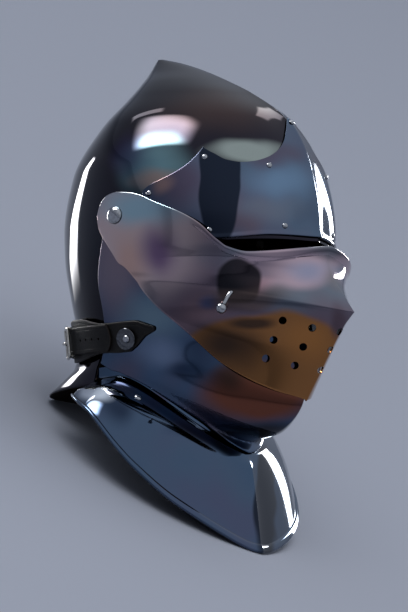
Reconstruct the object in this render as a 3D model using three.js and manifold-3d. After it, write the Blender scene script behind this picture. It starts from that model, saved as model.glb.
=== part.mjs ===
// A steel helmet with a pointed visor, a brow plate, a bevor over the chin and a flared neck plate.
// Millimetres. While it is shaped, X points out of the face, Y to the wearer's left and Z up,
// with the origin halfway between the two visor pivots. At the end it is tipped back onto its nape
// and the tip of the neck plate, as it lies on a table.
import * as THREE from 'three';
import Module from 'manifold-3d';
import { mergeVertices } from 'three/addons/utils/BufferGeometryUtils.js';

const wasm = await Module();
wasm.setup();

// Driving dimensions
const gap = 0.3; // running gap between neighbouring pieces
const skullThickness = 1.6;
const browThickness = 1.4;
const bevorThickness = 1.5;
const visorThickness = 1.6;
const neckThickness = 1.4;
const browSeat = 0.85; // the brow plate's height over the skull, so that their flat facets stay clear
const burrRoom = 1.8; // what a rivet's inner end stands off a plate, for the same reason
const drillDepth = { plate: 12, stack: 24 }; // for a hole in one plate, or through several
const browBead = 0.9; // how far the turned lower edge of the brow plate stands out
const neckBead = 1.8; // the same for the rim of the neck plate
const restPitches = [-50, -20].map(THREE.MathUtils.degToRad); // at rest it is tipped back between these
const rowBend = 1.5; // how a row of a plate leaves the level of its side on the way to the front
const creaseWidth = 9; // how fast the ridge over the brow fades sideways
const pastEveryPlate = 120; // half the width of the cutter for the face opening

// A plate is a stack of rows. Each row is a plan curve through a front, a side and a back point.
const rowColumns = [
  'frontX', 'frontZ', 'sideZ', 'middleX', 'backX', 'halfWidth', 'frontBow', 'frontRound', 'backRound',
  'ridge',
];

const skullRows = [
  [100, -131, -131, -20, -121.5, 73.5, 2, 2, 3.6, 0],
  [100, -122, -122, -20, -110.5, 72.5, 2, 2, 3, 0],
  [104, -112, -112, -18, -101, 72, 2, 2, 2.4, 0],
  [112, -90, -90, -15, -97, 77, 2, 2, 2, 0],
  [119, -60, -60, -8, -102.5, 86, 2, 2, 2, 2],
  [126.5, -20, -20, 5, -110, 94, 2, 2, 2, 5],
  [125.5, 0, 0, 10, -111, 95.5, 2, 2, 2, 5],
  [115.6, 45, 45, 7, -102, 90.5, 2, 2, 2, 5],
  [93.5, 83, 83, 2, -75, 74, 2, 2, 2, 5],
  [60.5, 107, 107, 0, -52, 53, 2, 2, 2, 4.6],
  [36, 120, 120, -5, -43, 38, 2, 2, 2, 4],
  [11, 132, 132, -15, -39, 20, 2, 2, 2, 2.4],
  [-10.5, 140.5, 140.5, -25, -36, 8.5, 2, 2, 2, 0.8],
  [-28, 145.4, 145.4, -31, -34, 2.2, 2, 2, 2, 0],
];
const skullPeak = { x: -31.5, z: 146, thickness: 2.1 };

const bevorRows = [
  [60.4, -188.5, -129, -20, -106, 75.2, 2, 2, 2, 0],
  [57.6, -180.2, -126.5, -20, -106, 75, 2, 2, 2, 0],
  [63, -178.8, -125, -20, -105, 75, 2, 1.9, 2, 0],
  [84, -177, -122, -19, -103, 75, 2, 1.6, 2, 0],
  [106, -166, -114, -18, -101, 75.4, 2, 1.25, 2, 0],
  [116.4, -152, -104, -17, -100, 77.2, 2, 1.1, 2, 0],
  [121.5, -130, -84, -15, -100.2, 82, 2, 1, 2, 0],
  [125, -105, -50, -8, -106, 91.8, 2, 1, 2, 0],
  [126, -80, -20, 5, -112.2, 97.4, 2, 1, 2, 0],
  [126, -50, 2, 10, -113, 98.2, 2, 1, 2, 0],
  [126, -20, 30, 10, -110, 98.2, 2, 1, 2, 0],
];

const visorRows = [
  [124.7, -152, -140, 10, -120, 102, 1.4, 1, 2, -5],
  [146.6, -118, -98, 10, -120, 102, 1.52, 1, 2, -5],
  [161.5, -94.8, -72, 10, -120, 102, 1.68, 1, 2, -4],
  [167.6, -85.6, -60, 10, -120, 102, 1.74, 1, 2, -1],
  [168.6, -83.6, -57, 10, -120, 102, 1.75, 1, 2, 0],
  [167.4, -82, -55, 10, -120, 102, 1.76, 1.02, 2, 0],
  [153.8, -63.6, -47, 10, -120, 101.4, 1.95, 1.25, 2, 0],
  [144.6, -50.4, -42, 10, -120, 101.2, 2.1, 1.6, 2, 0],
  [141.5, -39, -39.5, 10, -120, 101.2, 2.2, 1.9, 2, 0],
  [144.6, -28, -30, 10, -120, 101.2, 2.2, 2, 2, 0],
  [148, -5, 0, 10, -120, 101.2, 2.2, 2, 2, 0],
  [148, 15, 22, 10, -120, 101.2, 2.2, 2, 2, 0],
];

const neckRows = [
  [70.5, -272, -188, -20, -112, 127, 2.15, 1.6, 2, 0],
  [65.5, -235, -160, -20, -108, 116, 2.15, 1.65, 2, 0],
  [61, -203, -139, -20, -105, 97, 2.1, 1.7, 2, 0],
  [58.6, -191, -132, -20, -104, 80.5, 2, 1.9, 2, 0],
  [54.8, -184, -126, -20, -103, 72, 2, 2, 2, 0],
  [54, -163, -108, -20, -103, 71.6, 2, 2, 2, 0],
];

// Edges of the plates in side view, from the front midline backwards
const sideColumns = ['x', 'z'];
const browTopEdge = [
  [99.2, 82.2], [103.9, 71.6], [108.3, 58.9], [108.9, 49.9], [106.4, 44], [101.1, 40.3], [95, 39.2],
  [86, 41.1], [78.1, 46], [69.6, 51.6], [69.1, 52.4], [68.7, 51.4], [66.4, 46.5], [60, 38.2], [51.1, 31.5],
  [40.9, 26.6], [30.7, 22.3], [24.9, 18.5],
];
const browLowerEdge = [
  [131.2, -18], [114.1, -19], [98.1, -21.3], [81.9, -22.9], [65, -17], [45, -4], [24.9, 13.5],
];
const visorTopEdge = [
  [144.6, -28.2], [138.5, -32.4], [122, -36.6], [111, -37.6], [98, -33.6], [91, -27], [78, -13], [65, -4.3],
  [39, 7.5], [24, 14.5], [13, 17.2], [0, 18.6], [-9, 17], [-15, 12.5], [-19, 6.5], [-20.3, 3],
];
const visorLowerEdge = [
  [119.7, -152], [110, -146.5], [100, -141], [81, -126], [60, -100], [27, -63], [1, -36], [-9, -22.5],
  [-16, -13], [-19.4, -7], [-20.3, -3],
];
const bevorTopEdge = [
  [125.4, -95], [105, -88], [80, -70], [60, -50], [42, -28], [30, -10], [20, 4], [10, 13], [0, 16], [-8, 15],
];
const bevorLowerEdge = [[60.4, -188.5], [56, -181.5], [43, -164.5], [21, -146], [-6, -129], [-36, -115]];
const bevorRearEdge = [[-36, -115], [-29.5, -90], [-22, -55], [-17.5, -26], [-15.5, -8], [-14, 4], [-8, 15]];
const neckTopEdge = [[54.4, -175], [42, -157], [21, -140], [-6, -124], [-30, -118.5], [-42, -118.5]];
const neckLowerEdge = [
  [70.3, -271.5], [62.7, -259.8], [55.1, -249.5], [46.6, -239], [24.6, -210.5], [12.1, -194], [-3.8, -173.5],
  [-22, -157], [-46, -144],
];
const neckRearEdge = [[-46, -144], [-45, -131], [-42, -118.5]];
const faceOpening = [
  [160, -20], [125, -22], [90, -24.5], [75, -23], [60, -16.5], [44, -8], [30, -8], [22, -18], [15, -45],
  [12, -70], [2, -92], [-38, -106], [-43, -118], [-46, -140], [160, -140],
];

// Rivets, breaths and small fittings, as places in side view on the right and mirrored to the left
const browRivets = [
  ['cusp', 71.6, 43.8], ['upper', 108.7, 37.8], ['rear', 30.5, 15.6], ['lower', 78.3, -16.7],
  ['front', 120, -12],
];
const browTopRivetHeight = 78;
const breathColumns = [
  { y: 0, heights: [-98.8, -113, -128.5] },
  { y: 19, heights: [-96.3, -111, -125.5] },
  { y: 37, heights: [-90.8, -105.9, -120.5] },
];
const breathDiameter = 6.5;
const smallRivet = { headRadius: 2.4, headHeight: 1.1, shankRadius: 1.2 };
const neckRivet = { headRadius: 3.3, headHeight: 1.5, shankRadius: 1.5 };
const neckRivetPlace = { x: 9.4, z: -148.9 };
const pivotRivet = { headRadius: 7.2, headHeight: 3.4, shankRadius: 3 };
const rivetBurr = { radius: 1.4, height: 0.6 }; // of the closed inner end, per shank radius
const rivetDome = { radius: 0.72, height: 0.7 }; // the bend in a head, per head radius and height
const pivotHalfWidth = 101.2; // the flat outer face of the visor arms
const skullHalfWidth = 95.5; // the skull's face beneath them
const peg = {
  x: 94.7, z: -68.4, radius: 2.3, ballRadius: 4.6, root: -4, bend: 3.4,
  reach: [-2.8, -9.7, -14.1],
};

// The chin strap runs round the neck. Turns are angles from the front in radians, lifts are heights
// over the bevor's face and its smooth continuation round the nape.
const strap = { holeRadius: 1.1, firstHole: 1.745, holePitch: 0.0975, thickness: 2, halfHeight: 10 };
const strapRise = { turn: 1.57, height: -96.5, perTurn: 5.5 }; // it climbs a little towards the nape
const strapHoleSteps = [0, 1, 2, 3, 6, 7];
const prongHoleStep = 6;
const baseColumns = ['turn', 'upper', 'lower'];
const strapBase = [
  [1.3, 6.6, 4.6], [1.36, 9.4, 0.6], [1.41, 11.6, -6], [1.46, 11.6, -11], [1.54, 11.2, -11.4],
  [1.64, 10.6, -11], [1.76, 11, -11.2], [1.86, 12.6, -12.4], [1.98, 15, -14.6], [2.1, 16, -15.8],
  [2.24, 16.4, -16.2], [2.34, 16, -16],
];
const baseLift = 0.5;
const baseThickness = 2.2;
const strapTip = [[1.6, 2.5, -3.5], [1.615, 6.2, -7], [1.64, 10, -10]];
const strapLeftEnd = [[1.46, 10, -10], [1.41, 11, -7], [1.36, 9.4, 0.6], [1.3, 6.6, 4.6]];
const strapLiftColumns = ['turn', 'lift'];
const strapLifts = [
  [1.5, 3], [2.03, 3], [2.11, 3.5], [2.19, 5.5], [2.245, 6.2], [2.3, 5.9], [2.37, 4.4], [2.44, 3.3],
  [2.55, 3], [2.66, 2.4], [2.84, 1], [3.14, 0.7],
];
const napeLift = 0.7;
const leftSettle = { turn: 3.1, over: 0.6 }; // where the left stretch comes down to the base's lift
const strapRivet = { headRadius: 3.4, headHeight: 1.8, shankRadius: 1.4 };
const strapRivetPlace = { turn: 1.475, drop: -1.5 };
const washer = { radius: 8.6, thickness: 0.8, dish: 1.5, holeRadius: 1.8, flat: 0.55, flatOutside: 0.52 };
const buckle = {
  frontTurn: 2.255, rearTurn: 2.54, halfHeight: 13, bar: 2.5, corner: 2.5, soft: 0.5,
  frontLift: 4.3, rearLift: 6.8,
};
const prong = {
  radius: 0.9,
  room: 0.5,
  route: [[2.28, 4.6], [2.305, 5.6], [2.34, 8.2], [2.4, 9.6], [2.54, 9.5], [2.61, 9.3]],
};

// Readers for the tables above

function readRows(columns, rows) {
  return rows.map((row) => Object.fromEntries(columns.map((name, at) => [name, row[at]])));
}

function monotoneCurve(places, values) {
  const last = places.length - 1;
  const slopes = places.slice(1).map((place, at) => (values[at + 1] - values[at]) / (place - places[at]));
  const tangents = places.map((place, at) => {
    if (at === 0) return slopes[0];
    if (at === last) return slopes[last - 1];
    const product = slopes[at - 1] * slopes[at];
    return product <= 0 ? 0 : (2 * product) / (slopes[at - 1] + slopes[at]);
  });
  return (place) => {
    const limited = THREE.MathUtils.clamp(place, places[0], places[last]);
    let at = places.findIndex((edge) => edge > limited) - 1;
    if (at < 0) at = last - 1;
    const width = places[at + 1] - places[at];
    const part = (limited - places[at]) / width;
    const rest = 1 - part;
    return (
      values[at] * rest * rest * (1 + 2 * part) +
      values[at + 1] * part * part * (3 - 2 * part) +
      width * (tangents[at] * part * rest * rest - tangents[at + 1] * part * part * rest)
    );
  };
}

// A sheet turns a turn (0 at the front, pi/2 at the left side, pi at the back, negative on the right)
// and a level (0 at the bottom row, 1 at the top row) into a point on a plate's outer face.
function makeSheet(rowValues) {
  const rows = readRows(rowColumns, rowValues);
  const places = [0];
  for (let at = 1; at < rows.length; at += 1) {
    const [below, above] = [rows[at - 1], rows[at]];
    const front = Math.hypot(above.frontX - below.frontX, above.frontZ - below.frontZ);
    const side = Math.hypot(above.halfWidth - below.halfWidth, above.sideZ - below.sideZ);
    places.push(places[at - 1] + front + side);
  }
  const levels = places.map((place) => place / places[rows.length - 1]);
  const columns = Object.fromEntries(
    rowColumns.map((name) => [name, monotoneCurve(levels, rows.map((row) => row[name]))]),
  );

  function bare(turn, level) {
    const row = Object.fromEntries(rowColumns.map((name) => [name, columns[name](level)]));
    const ahead = Math.cos(turn);
    const aside = Math.abs(Math.sin(turn));
    const toFront = ahead > 0;
    const bow = toFront ? row.frontBow : 2;
    const round = toFront ? row.frontRound : row.backRound;
    const along = Math.abs(ahead) ** (2 / bow);
    const y = Math.sign(turn) * row.halfWidth * aside ** (2 / round);
    const reach = toFront ? row.frontX - row.middleX : row.backX - row.middleX;
    const ridge = toFront ? row.ridge * Math.exp(-Math.abs(y) / creaseWidth) : 0;
    const z = toFront ? row.sideZ + (row.frontZ - row.sideZ) * along ** rowBend : row.sideZ;
    return new THREE.Vector3(row.middleX + reach * along + ridge, y, z);
  }

  function point(turn, level, lift = 0) {
    const place = bare(turn, level);
    if (lift === 0) return place;
    return place.addScaledVector(normal(turn, level), lift);
  }

  function normal(turn, level) {
    const step = 1e-3;
    const side = Math.sign(turn) || 1;
    const inner = Math.max(Math.abs(turn), 2 * step) * side;
    const low = Math.max(level - step, 0);
    const high = Math.min(level + step, 1);
    const across = bare(inner + step, level).sub(bare(inner - step, level));
    const up = bare(inner, high).sub(bare(inner, low));
    const facing = across.cross(up).normalize();
    if (Math.abs(turn) < step || Math.abs(turn) > Math.PI - step) facing.y = 0;
    return facing.normalize();
  }

  // The level at which the row through this turn passes a height
  function levelAt(turn, z) {
    let [low, high] = [0, 1];
    for (let pass = 0; pass < 40; pass += 1) {
      const half = (low + high) / 2;
      if (bare(turn, half).z < z) low = half;
      else high = half;
    }
    return (low + high) / 2;
  }

  // The turn and level of the point that the side view shows at x and z
  function placeAt(x, z) {
    let [low, high] = [0, Math.PI];
    for (let pass = 0; pass < 40; pass += 1) {
      const half = (low + high) / 2;
      if (bare(half, levelAt(half, z)).x > x) low = half;
      else high = half;
    }
    const turn = (low + high) / 2;
    return { turn, level: levelAt(turn, z) };
  }

  // The turn and level of the point at a distance from the midline and a height
  function placeAcross(y, z) {
    let [low, high] = [0, Math.PI / 2];
    for (let pass = 0; pass < 40; pass += 1) {
      const half = (low + high) / 2;
      if (bare(half, levelAt(half, z)).y < y) low = half;
      else high = half;
    }
    const turn = (low + high) / 2;
    return { turn, level: levelAt(turn, z) };
  }

  return { point, normal, levelAt, placeAt, placeAcross };
}

// An edge in side view becomes a level for every turn
function edgeLevels(sheet, points) {
  const places = readRows(sideColumns, points).map(({ x, z }) => sheet.placeAt(x, z));
  const ordered = places.sort((a, b) => a.turn - b.turn);
  const distinct = ordered.filter((place, at) => at === 0 || place.turn - ordered[at - 1].turn > 1e-4);
  return monotoneCurve(distinct.map((place) => place.turn), distinct.map((place) => place.level));
}

// A closed shell between an outer and an inner grid of points. Columns run round, rows run up.
function closedShell(outer, inner, crown) {
  const ring = crown !== undefined;
  const columnCount = outer.length;
  const rowCount = outer[0].length;
  const points = [...outer.flat(), ...inner.flat()];
  const index = [];
  const outside = (column, row) => (column % columnCount) * rowCount + row;
  const inside = (column, row) => columnCount * rowCount + outside(column, row);
  const quad = (a, b, c, d) => index.push(a, b, c, a, c, d);
  const spans = ring ? columnCount : columnCount - 1;
  for (let column = 0; column < spans; column += 1) {
    const next = column + 1;
    for (let row = 0; row < rowCount - 1; row += 1) {
      const up = row + 1;
      quad(outside(column, row), outside(next, row), outside(next, up), outside(column, up));
      quad(inside(column, row), inside(column, up), inside(next, up), inside(next, row));
    }
    quad(outside(column, 0), inside(column, 0), inside(next, 0), outside(next, 0));
    const top = rowCount - 1;
    if (ring) {
      index.push(outside(column, top), outside(next, top), points.length);
      index.push(inside(next, top), inside(column, top), points.length + 1);
    } else {
      quad(outside(column, top), outside(next, top), inside(next, top), inside(column, top));
    }
  }
  if (ring) {
    points.push(crown.outer, crown.inner);
  } else {
    const end = columnCount - 1;
    for (let row = 0; row < rowCount - 1; row += 1) {
      const up = row + 1;
      quad(outside(0, row), outside(0, up), inside(0, up), inside(0, row));
      quad(outside(end, row), inside(end, row), inside(end, up), outside(end, up));
    }
  }
  const geometry = new THREE.BufferGeometry();
  geometry.setAttribute('position', new THREE.Float32BufferAttribute(points.flatMap((p) => p.toArray()), 3));
  geometry.setIndex(index);
  return geometry;
}

function spread(count) {
  return Array.from({ length: count + 1 }, (unused, at) => at / count);
}

// Boolean work on closed meshes

function asSolid(geometry) {
  const bare = geometry.clone();
  bare.deleteAttribute('normal');
  bare.deleteAttribute('uv');
  const merged = mergeVertices(bare, 1e-4);
  const vertProperties = new Float32Array(merged.attributes.position.array);
  const triVerts = new Uint32Array(merged.index.array);
  return new wasm.Manifold(new wasm.Mesh({ numProp: 3, vertProperties, triVerts }));
}

function asGeometry(solid) {
  const mesh = solid.getMesh();
  const geometry = new THREE.BufferGeometry();
  geometry.setAttribute('position', new THREE.Float32BufferAttribute(mesh.vertProperties, 3));
  geometry.setIndex(new THREE.Uint32BufferAttribute(mesh.triVerts, 1));
  return geometry;
}

function cutAway(geometry, cutters) {
  return asGeometry(cutters.reduce((solid, cutter) => solid.subtract(asSolid(cutter)), asSolid(geometry)));
}

function drill(place, facing, radius, depth, sides = 6) {
  const cutter = new THREE.CylinderGeometry(radius, radius, depth, sides);
  cutter.applyQuaternion(new THREE.Quaternion().setFromUnitVectors(new THREE.Vector3(0, 1, 0), facing));
  cutter.translate(place.x, place.y, place.z);
  return cutter;
}

// A hole with few sides is a little wider, so that the shank clears its flats too
function shankHole({ shankRadius }) {
  return shankRadius + 1.5 * gap;
}

// A piece as a named mesh with its own material
const steelLooks = {
  skull: { color: '#1d1b26', roughness: 0.12, metalness: 1 },
  brow: { color: '#46586a', roughness: 0.14, metalness: 1 },
  visor: { color: '#5a4138', roughness: 0.15, metalness: 1 },
  bevor: { color: '#2a2327', roughness: 0.15, metalness: 1 },
  neck: { color: '#42566b', roughness: 0.16, metalness: 1 },
  bright: { color: '#c9ccd2', roughness: 0.2, metalness: 1 },
  buckle: { color: '#b9b6ad', roughness: 0.25, metalness: 1 },
};
const leatherLook = { color: '#17130f', roughness: 0.55, metalness: 0 };

const helmet = new THREE.Group();

function addPiece(name, geometry, look) {
  const mesh = new THREE.Mesh(geometry, new THREE.MeshStandardMaterial(look));
  mesh.name = name;
  helmet.add(mesh);
  return mesh;
}

// The four plate sheets
const skullSheet = makeSheet(skullRows);
const bevorSheet = makeSheet(bevorRows);
const visorSheet = makeSheet(visorRows);
const neckSheet = makeSheet(neckRows);

function extrudedOutline(points, halfDepth) {
  const shape = new THREE.Shape(readRows(sideColumns, points).map(({ x, z }) => new THREE.Vector2(x, z)));
  const block = new THREE.ExtrudeGeometry(shape, { depth: 2 * halfDepth, bevelEnabled: false });
  block.translate(0, 0, -halfDepth);
  block.rotateX(Math.PI / 2);
  return block;
}

// Places of the rivets on both sides
function onBothSides(sheet, x, z, lift) {
  const { turn, level } = sheet.placeAt(x, z);
  return [-1, 1].map((side) => ({
    side: side < 0 ? 'right' : 'left',
    place: sheet.point(side * turn, level, lift),
    facing: sheet.normal(side * turn, level),
  }));
}

const browLift = browSeat + browThickness;
const browRivetPlaces = browRivets.flatMap(([name, x, z]) =>
  onBothSides(skullSheet, x, z, browLift).map((spot) => ({
    ...spot,
    name: `brow_rivet_${name}_${spot.side}`,
  })),
);
const topLevel = skullSheet.levelAt(0, browTopRivetHeight);
browRivetPlaces.push({
  name: 'brow_rivet_top',
  place: skullSheet.point(0, topLevel, browLift),
  facing: skullSheet.normal(0, topLevel),
});
const pivotPlaces = [-1, 1].map((side) => ({
  side: side < 0 ? 'right' : 'left',
  place: new THREE.Vector3(0, side * pivotHalfWidth, 0),
  facing: new THREE.Vector3(0, side, 0),
}));

function browRivetHoles() {
  return browRivetPlaces.map(({ place, facing }) =>
    drill(place, facing, shankHole(smallRivet), drillDepth.stack),
  );
}

function pivotHoles() {
  return pivotPlaces.map(({ place, facing }) =>
    drill(place, facing, shankHole(pivotRivet), drillDepth.stack, 8),
  );
}

function makeSkull() {
  const half = [
    0.05, 0.11, 0.19, 0.31, 0.47, 0.66, 0.88, 1.12, 1.37, 1.63, 1.89, 2.15, 2.41, 2.65, 2.86, 3.055,
  ];
  const turns = [...half.map((turn) => -turn).reverse(), 0, ...half];
  const levels = [
    0, 0.035, 0.07, 0.12, 0.19, 0.27, 0.33, 0.39, 0.47, 0.55, 0.63, 0.71, 0.79, 0.86, 0.92, 0.965, 1,
  ];
  const outer = turns.map((turn) => levels.map((level) => skullSheet.point(turn, level)));
  const inner = turns.map((turn) => levels.map((level) => skullSheet.point(turn, level, -skullThickness)));
  const crown = {
    outer: new THREE.Vector3(skullPeak.x, 0, skullPeak.z),
    inner: new THREE.Vector3(skullPeak.x, 0, skullPeak.z - skullPeak.thickness),
  };
  const dome = closedShell(outer, inner, crown);
  const face = extrudedOutline(faceOpening, pastEveryPlate);
  return cutAway(dome, [face, ...browRivetHoles(), ...pivotHoles()]);
}

// A plate trimmed to its edges. The rear edge may lean, so the turns spread anew on every row.
function makePlate(sheet, { top, lower, rear, columns, rows, inner, thickness, bead }) {
  const topLevels = edgeLevels(sheet, top);
  const lowerLevels = edgeLevels(sheet, lower);
  const topEnd = sheet.placeAt(...top[top.length - 1]).turn;
  const lowerEnd = sheet.placeAt(...lower[lower.length - 1]).turn;
  const rearTurn = rear
    ? monotoneCurve(spread(rear.length - 1), rear.map((point) => sheet.placeAt(...point).turn))
    : (part) => THREE.MathUtils.lerp(lowerEnd, topEnd, part);
  const grid = (lift) =>
    columns.map((column) =>
      rows.map((row) => {
        const turn = column * rearTurn(row);
        const level = THREE.MathUtils.lerp(lowerLevels(Math.abs(turn)), topLevels(Math.abs(turn)), row);
        return sheet.point(turn, level, lift(row));
      }),
    );
  const swell = bead ?? (() => 0);
  return closedShell(grid((row) => inner + thickness + swell(row)), grid(() => inner));
}

function mirrored(parts) {
  return [...parts.slice(1).reverse().map((part) => -part), ...parts];
}

function makeBrow() {
  const plate = makePlate(skullSheet, {
    top: browTopEdge,
    lower: browLowerEdge,
    columns: mirrored([
      0, 0.03, 0.07, 0.12, 0.18, 0.25, 0.33, 0.42, 0.51, 0.59, 0.655, 0.72, 0.81, 0.9, 1,
    ]),
    rows: [0, 0.018, 0.045, 0.23, 0.42, 0.61, 0.8, 1],
    inner: browSeat,
    thickness: browThickness,
    bead: (row) => (row < 0.03 ? browBead : 0),
  });
  return cutAway(plate, browRivetHoles());
}

function makeVisor() {
  const plate = makePlate(visorSheet, {
    top: visorTopEdge,
    lower: visorLowerEdge,
    columns: mirrored([
      0, 0.05, 0.11, 0.18, 0.25, 0.32, 0.39, 0.46, 0.53, 0.61, 0.7, 0.79, 0.87, 0.93, 0.975, 1,
    ]),
    rows: [0, 0.18, 0.34, 0.48, 0.56, 0.66, 0.76, 0.85, 0.93, 1],
    inner: -visorThickness,
    thickness: visorThickness,
  });
  const holes = breathColumns.flatMap(({ y, heights }) =>
    heights.flatMap((z) => {
      const { turn, level } = visorSheet.placeAcross(y, z);
      const turns = y === 0 ? [0] : [-turn, turn];
      return turns.map((at) => {
        const place = visorSheet.point(at, level);
        return drill(place, visorSheet.normal(at, level), breathDiameter / 2, drillDepth.plate, 8);
      });
    }),
  );
  const [pegSpot] = onBothSides(visorSheet, peg.x, peg.z, 0);
  holes.push(drill(pegSpot.place, pegSpot.facing, peg.radius + 2 * gap, drillDepth.plate, 8));
  return cutAway(plate, [...holes, ...pivotHoles()]);
}

function makeBevor() {
  const plate = makePlate(bevorSheet, {
    top: bevorTopEdge,
    lower: bevorLowerEdge,
    rear: bevorRearEdge,
    columns: mirrored([0, 0.08, 0.16, 0.25, 0.34, 0.44, 0.54, 0.64, 0.74, 0.83, 0.92, 1]),
    rows: [0, 0.05, 0.1, 0.16, 0.25, 0.36, 0.5, 0.66, 0.82, 1],
    inner: -bevorThickness,
    thickness: bevorThickness,
  });
  return cutAway(plate, [...pivotHoles(), strapRivetHole(-1), strapRivetHole(1)]);
}

function makeNeckPlate() {
  const plate = makePlate(neckSheet, {
    top: neckTopEdge,
    lower: neckLowerEdge,
    rear: neckRearEdge,
    columns: mirrored([0, 0.09, 0.19, 0.29, 0.39, 0.49, 0.6, 0.72, 0.85, 1]),
    rows: [0, 0.03, 0.07, 0.22, 0.4, 0.58, 0.74, 0.86, 0.94, 1],
    inner: -neckThickness,
    thickness: neckThickness,
    bead: (row) => (row < 0.05 ? neckBead : 0),
  });
  const holes = onBothSides(neckSheet, neckRivetPlace.x, neckRivetPlace.z, 0).map(({ place, facing }) =>
    drill(place, facing, shankHole(neckRivet), drillDepth.plate),
  );
  return cutAway(plate, holes);
}

// A rivet stands on the Y axis with the underside of its head at zero
function makeRivet({ headRadius, headHeight, shankRadius }, grip, sides = 6) {
  const burr = shankRadius * rivetBurr.radius;
  const end = grip + shankRadius * rivetBurr.height;
  const profile = [
    [0, -end], [burr, -end], [burr, -grip], [shankRadius, -grip], [shankRadius, 0], [headRadius, 0],
    [headRadius * rivetDome.radius, headHeight * rivetDome.height], [0, headHeight],
  ];
  return new THREE.LatheGeometry(profile.map(([x, y]) => new THREE.Vector2(x, y)), sides);
}

// Sets a piece that was made round the Y axis onto a place, facing outwards
function stand(mesh, place, facing) {
  mesh.position.copy(place);
  mesh.quaternion.setFromUnitVectors(new THREE.Vector3(0, 1, 0), facing);
}

function addBrowRivets() {
  const grip = skullThickness + browLift + gap + burrRoom;
  browRivetPlaces.forEach(({ name, place, facing }) => {
    const mesh = addPiece(name, makeRivet(smallRivet, grip), steelLooks.bright);
    stand(mesh, place.clone().addScaledVector(facing, gap), facing);
  });
}

function addPivotRivets() {
  const grip = pivotHalfWidth + gap - (skullHalfWidth - skullThickness) + burrRoom;
  pivotPlaces.forEach(({ side, place, facing }) => {
    const mesh = addPiece(`pivot_rivet_${side}`, makeRivet(pivotRivet, grip, 14), steelLooks.bright);
    stand(mesh, place.clone().addScaledVector(facing, gap), facing);
  });
}

function addNeckRivets() {
  const grip = neckThickness + gap + burrRoom;
  onBothSides(neckSheet, neckRivetPlace.x, neckRivetPlace.z, gap).forEach(({ side, place, facing }) => {
    const mesh = addPiece(`neck_rivet_${side}`, makeRivet(neckRivet, grip), steelLooks.bright);
    stand(mesh, place, facing);
  });
}

// The lifting peg leans down from the right cheek of the visor and ends in a ball
function makePeg() {
  const [{ place, facing }] = onBothSides(visorSheet, peg.x, peg.z, 0);
  const reach = new THREE.Vector3(...peg.reach);
  const inside = place.clone().addScaledVector(facing, peg.root);
  const outside = place.clone().addScaledVector(facing, peg.bend);
  const end = place.clone().add(reach);
  const round = new THREE.Shape().absarc(0, 0, peg.radius, 0, 2 * Math.PI);
  const route = new THREE.CatmullRomCurve3([inside, place, outside, end]);
  const stem = new THREE.ExtrudeGeometry(round, {
    steps: 7, extrudePath: route, bevelEnabled: false, curveSegments: 4,
  });
  const ball = new THREE.SphereGeometry(peg.ballRadius, 12, 8);
  ball.translate(end.x, end.y, end.z);
  return asGeometry(asSolid(stem).add(asSolid(ball)));
}

// Strap pieces are grids on the bevor's sheet. A column is a turn with an upper and a lower edge
// measured from the strap's middle line.
function strapHeight(turn) {
  return strapRise.height + strapRise.perTurn * (Math.abs(turn) - strapRise.turn);
}

function strapPoint(turn, offset, lift) {
  return bevorSheet.point(turn, bevorSheet.levelAt(turn, strapHeight(turn) + offset), lift);
}

function makeStrapShell(columns, liftAt, thickness) {
  const parts = spread(2);
  const grid = (extra) =>
    columns.map(({ turn, upper, lower }) =>
      parts.map((part) => strapPoint(turn, THREE.MathUtils.lerp(lower, upper, part), liftAt(turn) + extra)),
    );
  return closedShell(grid(thickness), grid(0));
}

function onRight(table) {
  return readRows(baseColumns, table).map((column) => ({ ...column, turn: -column.turn })).reverse();
}

const rivetFacing = (side) => {
  const turn = side * strapRivetPlace.turn;
  return bevorSheet.normal(turn, bevorSheet.levelAt(turn, strapHeight(turn) + strapRivetPlace.drop));
};

function strapRivetHole(side) {
  const place = strapPoint(side * strapRivetPlace.turn, strapRivetPlace.drop, baseLift);
  return drill(place, rivetFacing(side), shankHole(strapRivet), drillDepth.stack);
}

function makeStrapBase() {
  const base = makeStrapShell(onRight(strapBase), () => baseLift, baseThickness);
  return cutAway(base, [strapRivetHole(-1)]);
}

const liftTable = readRows(strapLiftColumns, strapLifts);
const rightLift = monotoneCurve(liftTable.map(({ turn }) => turn), liftTable.map(({ lift }) => lift));

function neckStrapLift(turn) {
  if (turn <= 0) return rightLift(-turn);
  const settled = THREE.MathUtils.clamp((leftSettle.turn - turn) / leftSettle.over, 0, 1);
  return THREE.MathUtils.lerp(napeLift, baseLift, settled);
}

// One strap from the free end on the right, through the buckle and round the nape, to its left end.
// Its columns step straight over the midline at the nape.
function makeNeckStrap() {
  const { halfHeight } = strap;
  const plain = (turn) => ({ turn, upper: halfHeight, lower: -halfHeight });
  const rightTurns = [1.74, 1.88, 2.03, 2.11, 2.19, 2.245, 2.3, 2.37, 2.44, 2.55, 2.66, 2.79, 2.92, 3.05];
  const leftTurns = [3.05, 2.9, 2.75, 2.6, 2.45, 2.3, 2.15, 2, 1.85, 1.7, 1.56];
  const columns = [
    ...readRows(baseColumns, strapTip).map((column) => ({ ...column, turn: -column.turn })),
    ...rightTurns.map((turn) => plain(-turn)),
    ...leftTurns.map((turn) => plain(turn)),
    ...readRows(baseColumns, strapLeftEnd),
  ];
  const shell = makeStrapShell(columns.reverse(), neckStrapLift, strap.thickness);
  const holes = strapHoleSteps.map((step) => {
    const turn = -(strap.firstHole + step * strap.holePitch);
    const radius = step === prongHoleStep ? prong.radius + prong.room : strap.holeRadius;
    const facing = bevorSheet.normal(turn, bevorSheet.levelAt(turn, strapHeight(turn)));
    return drill(strapPoint(turn, 0, neckStrapLift(turn)), facing, radius, drillDepth.plate);
  });
  const slot = makeProng(prong.radius + prong.room);
  return cutAway(shell, [strapRivetHole(1), slot, ...holes]);
}

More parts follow.
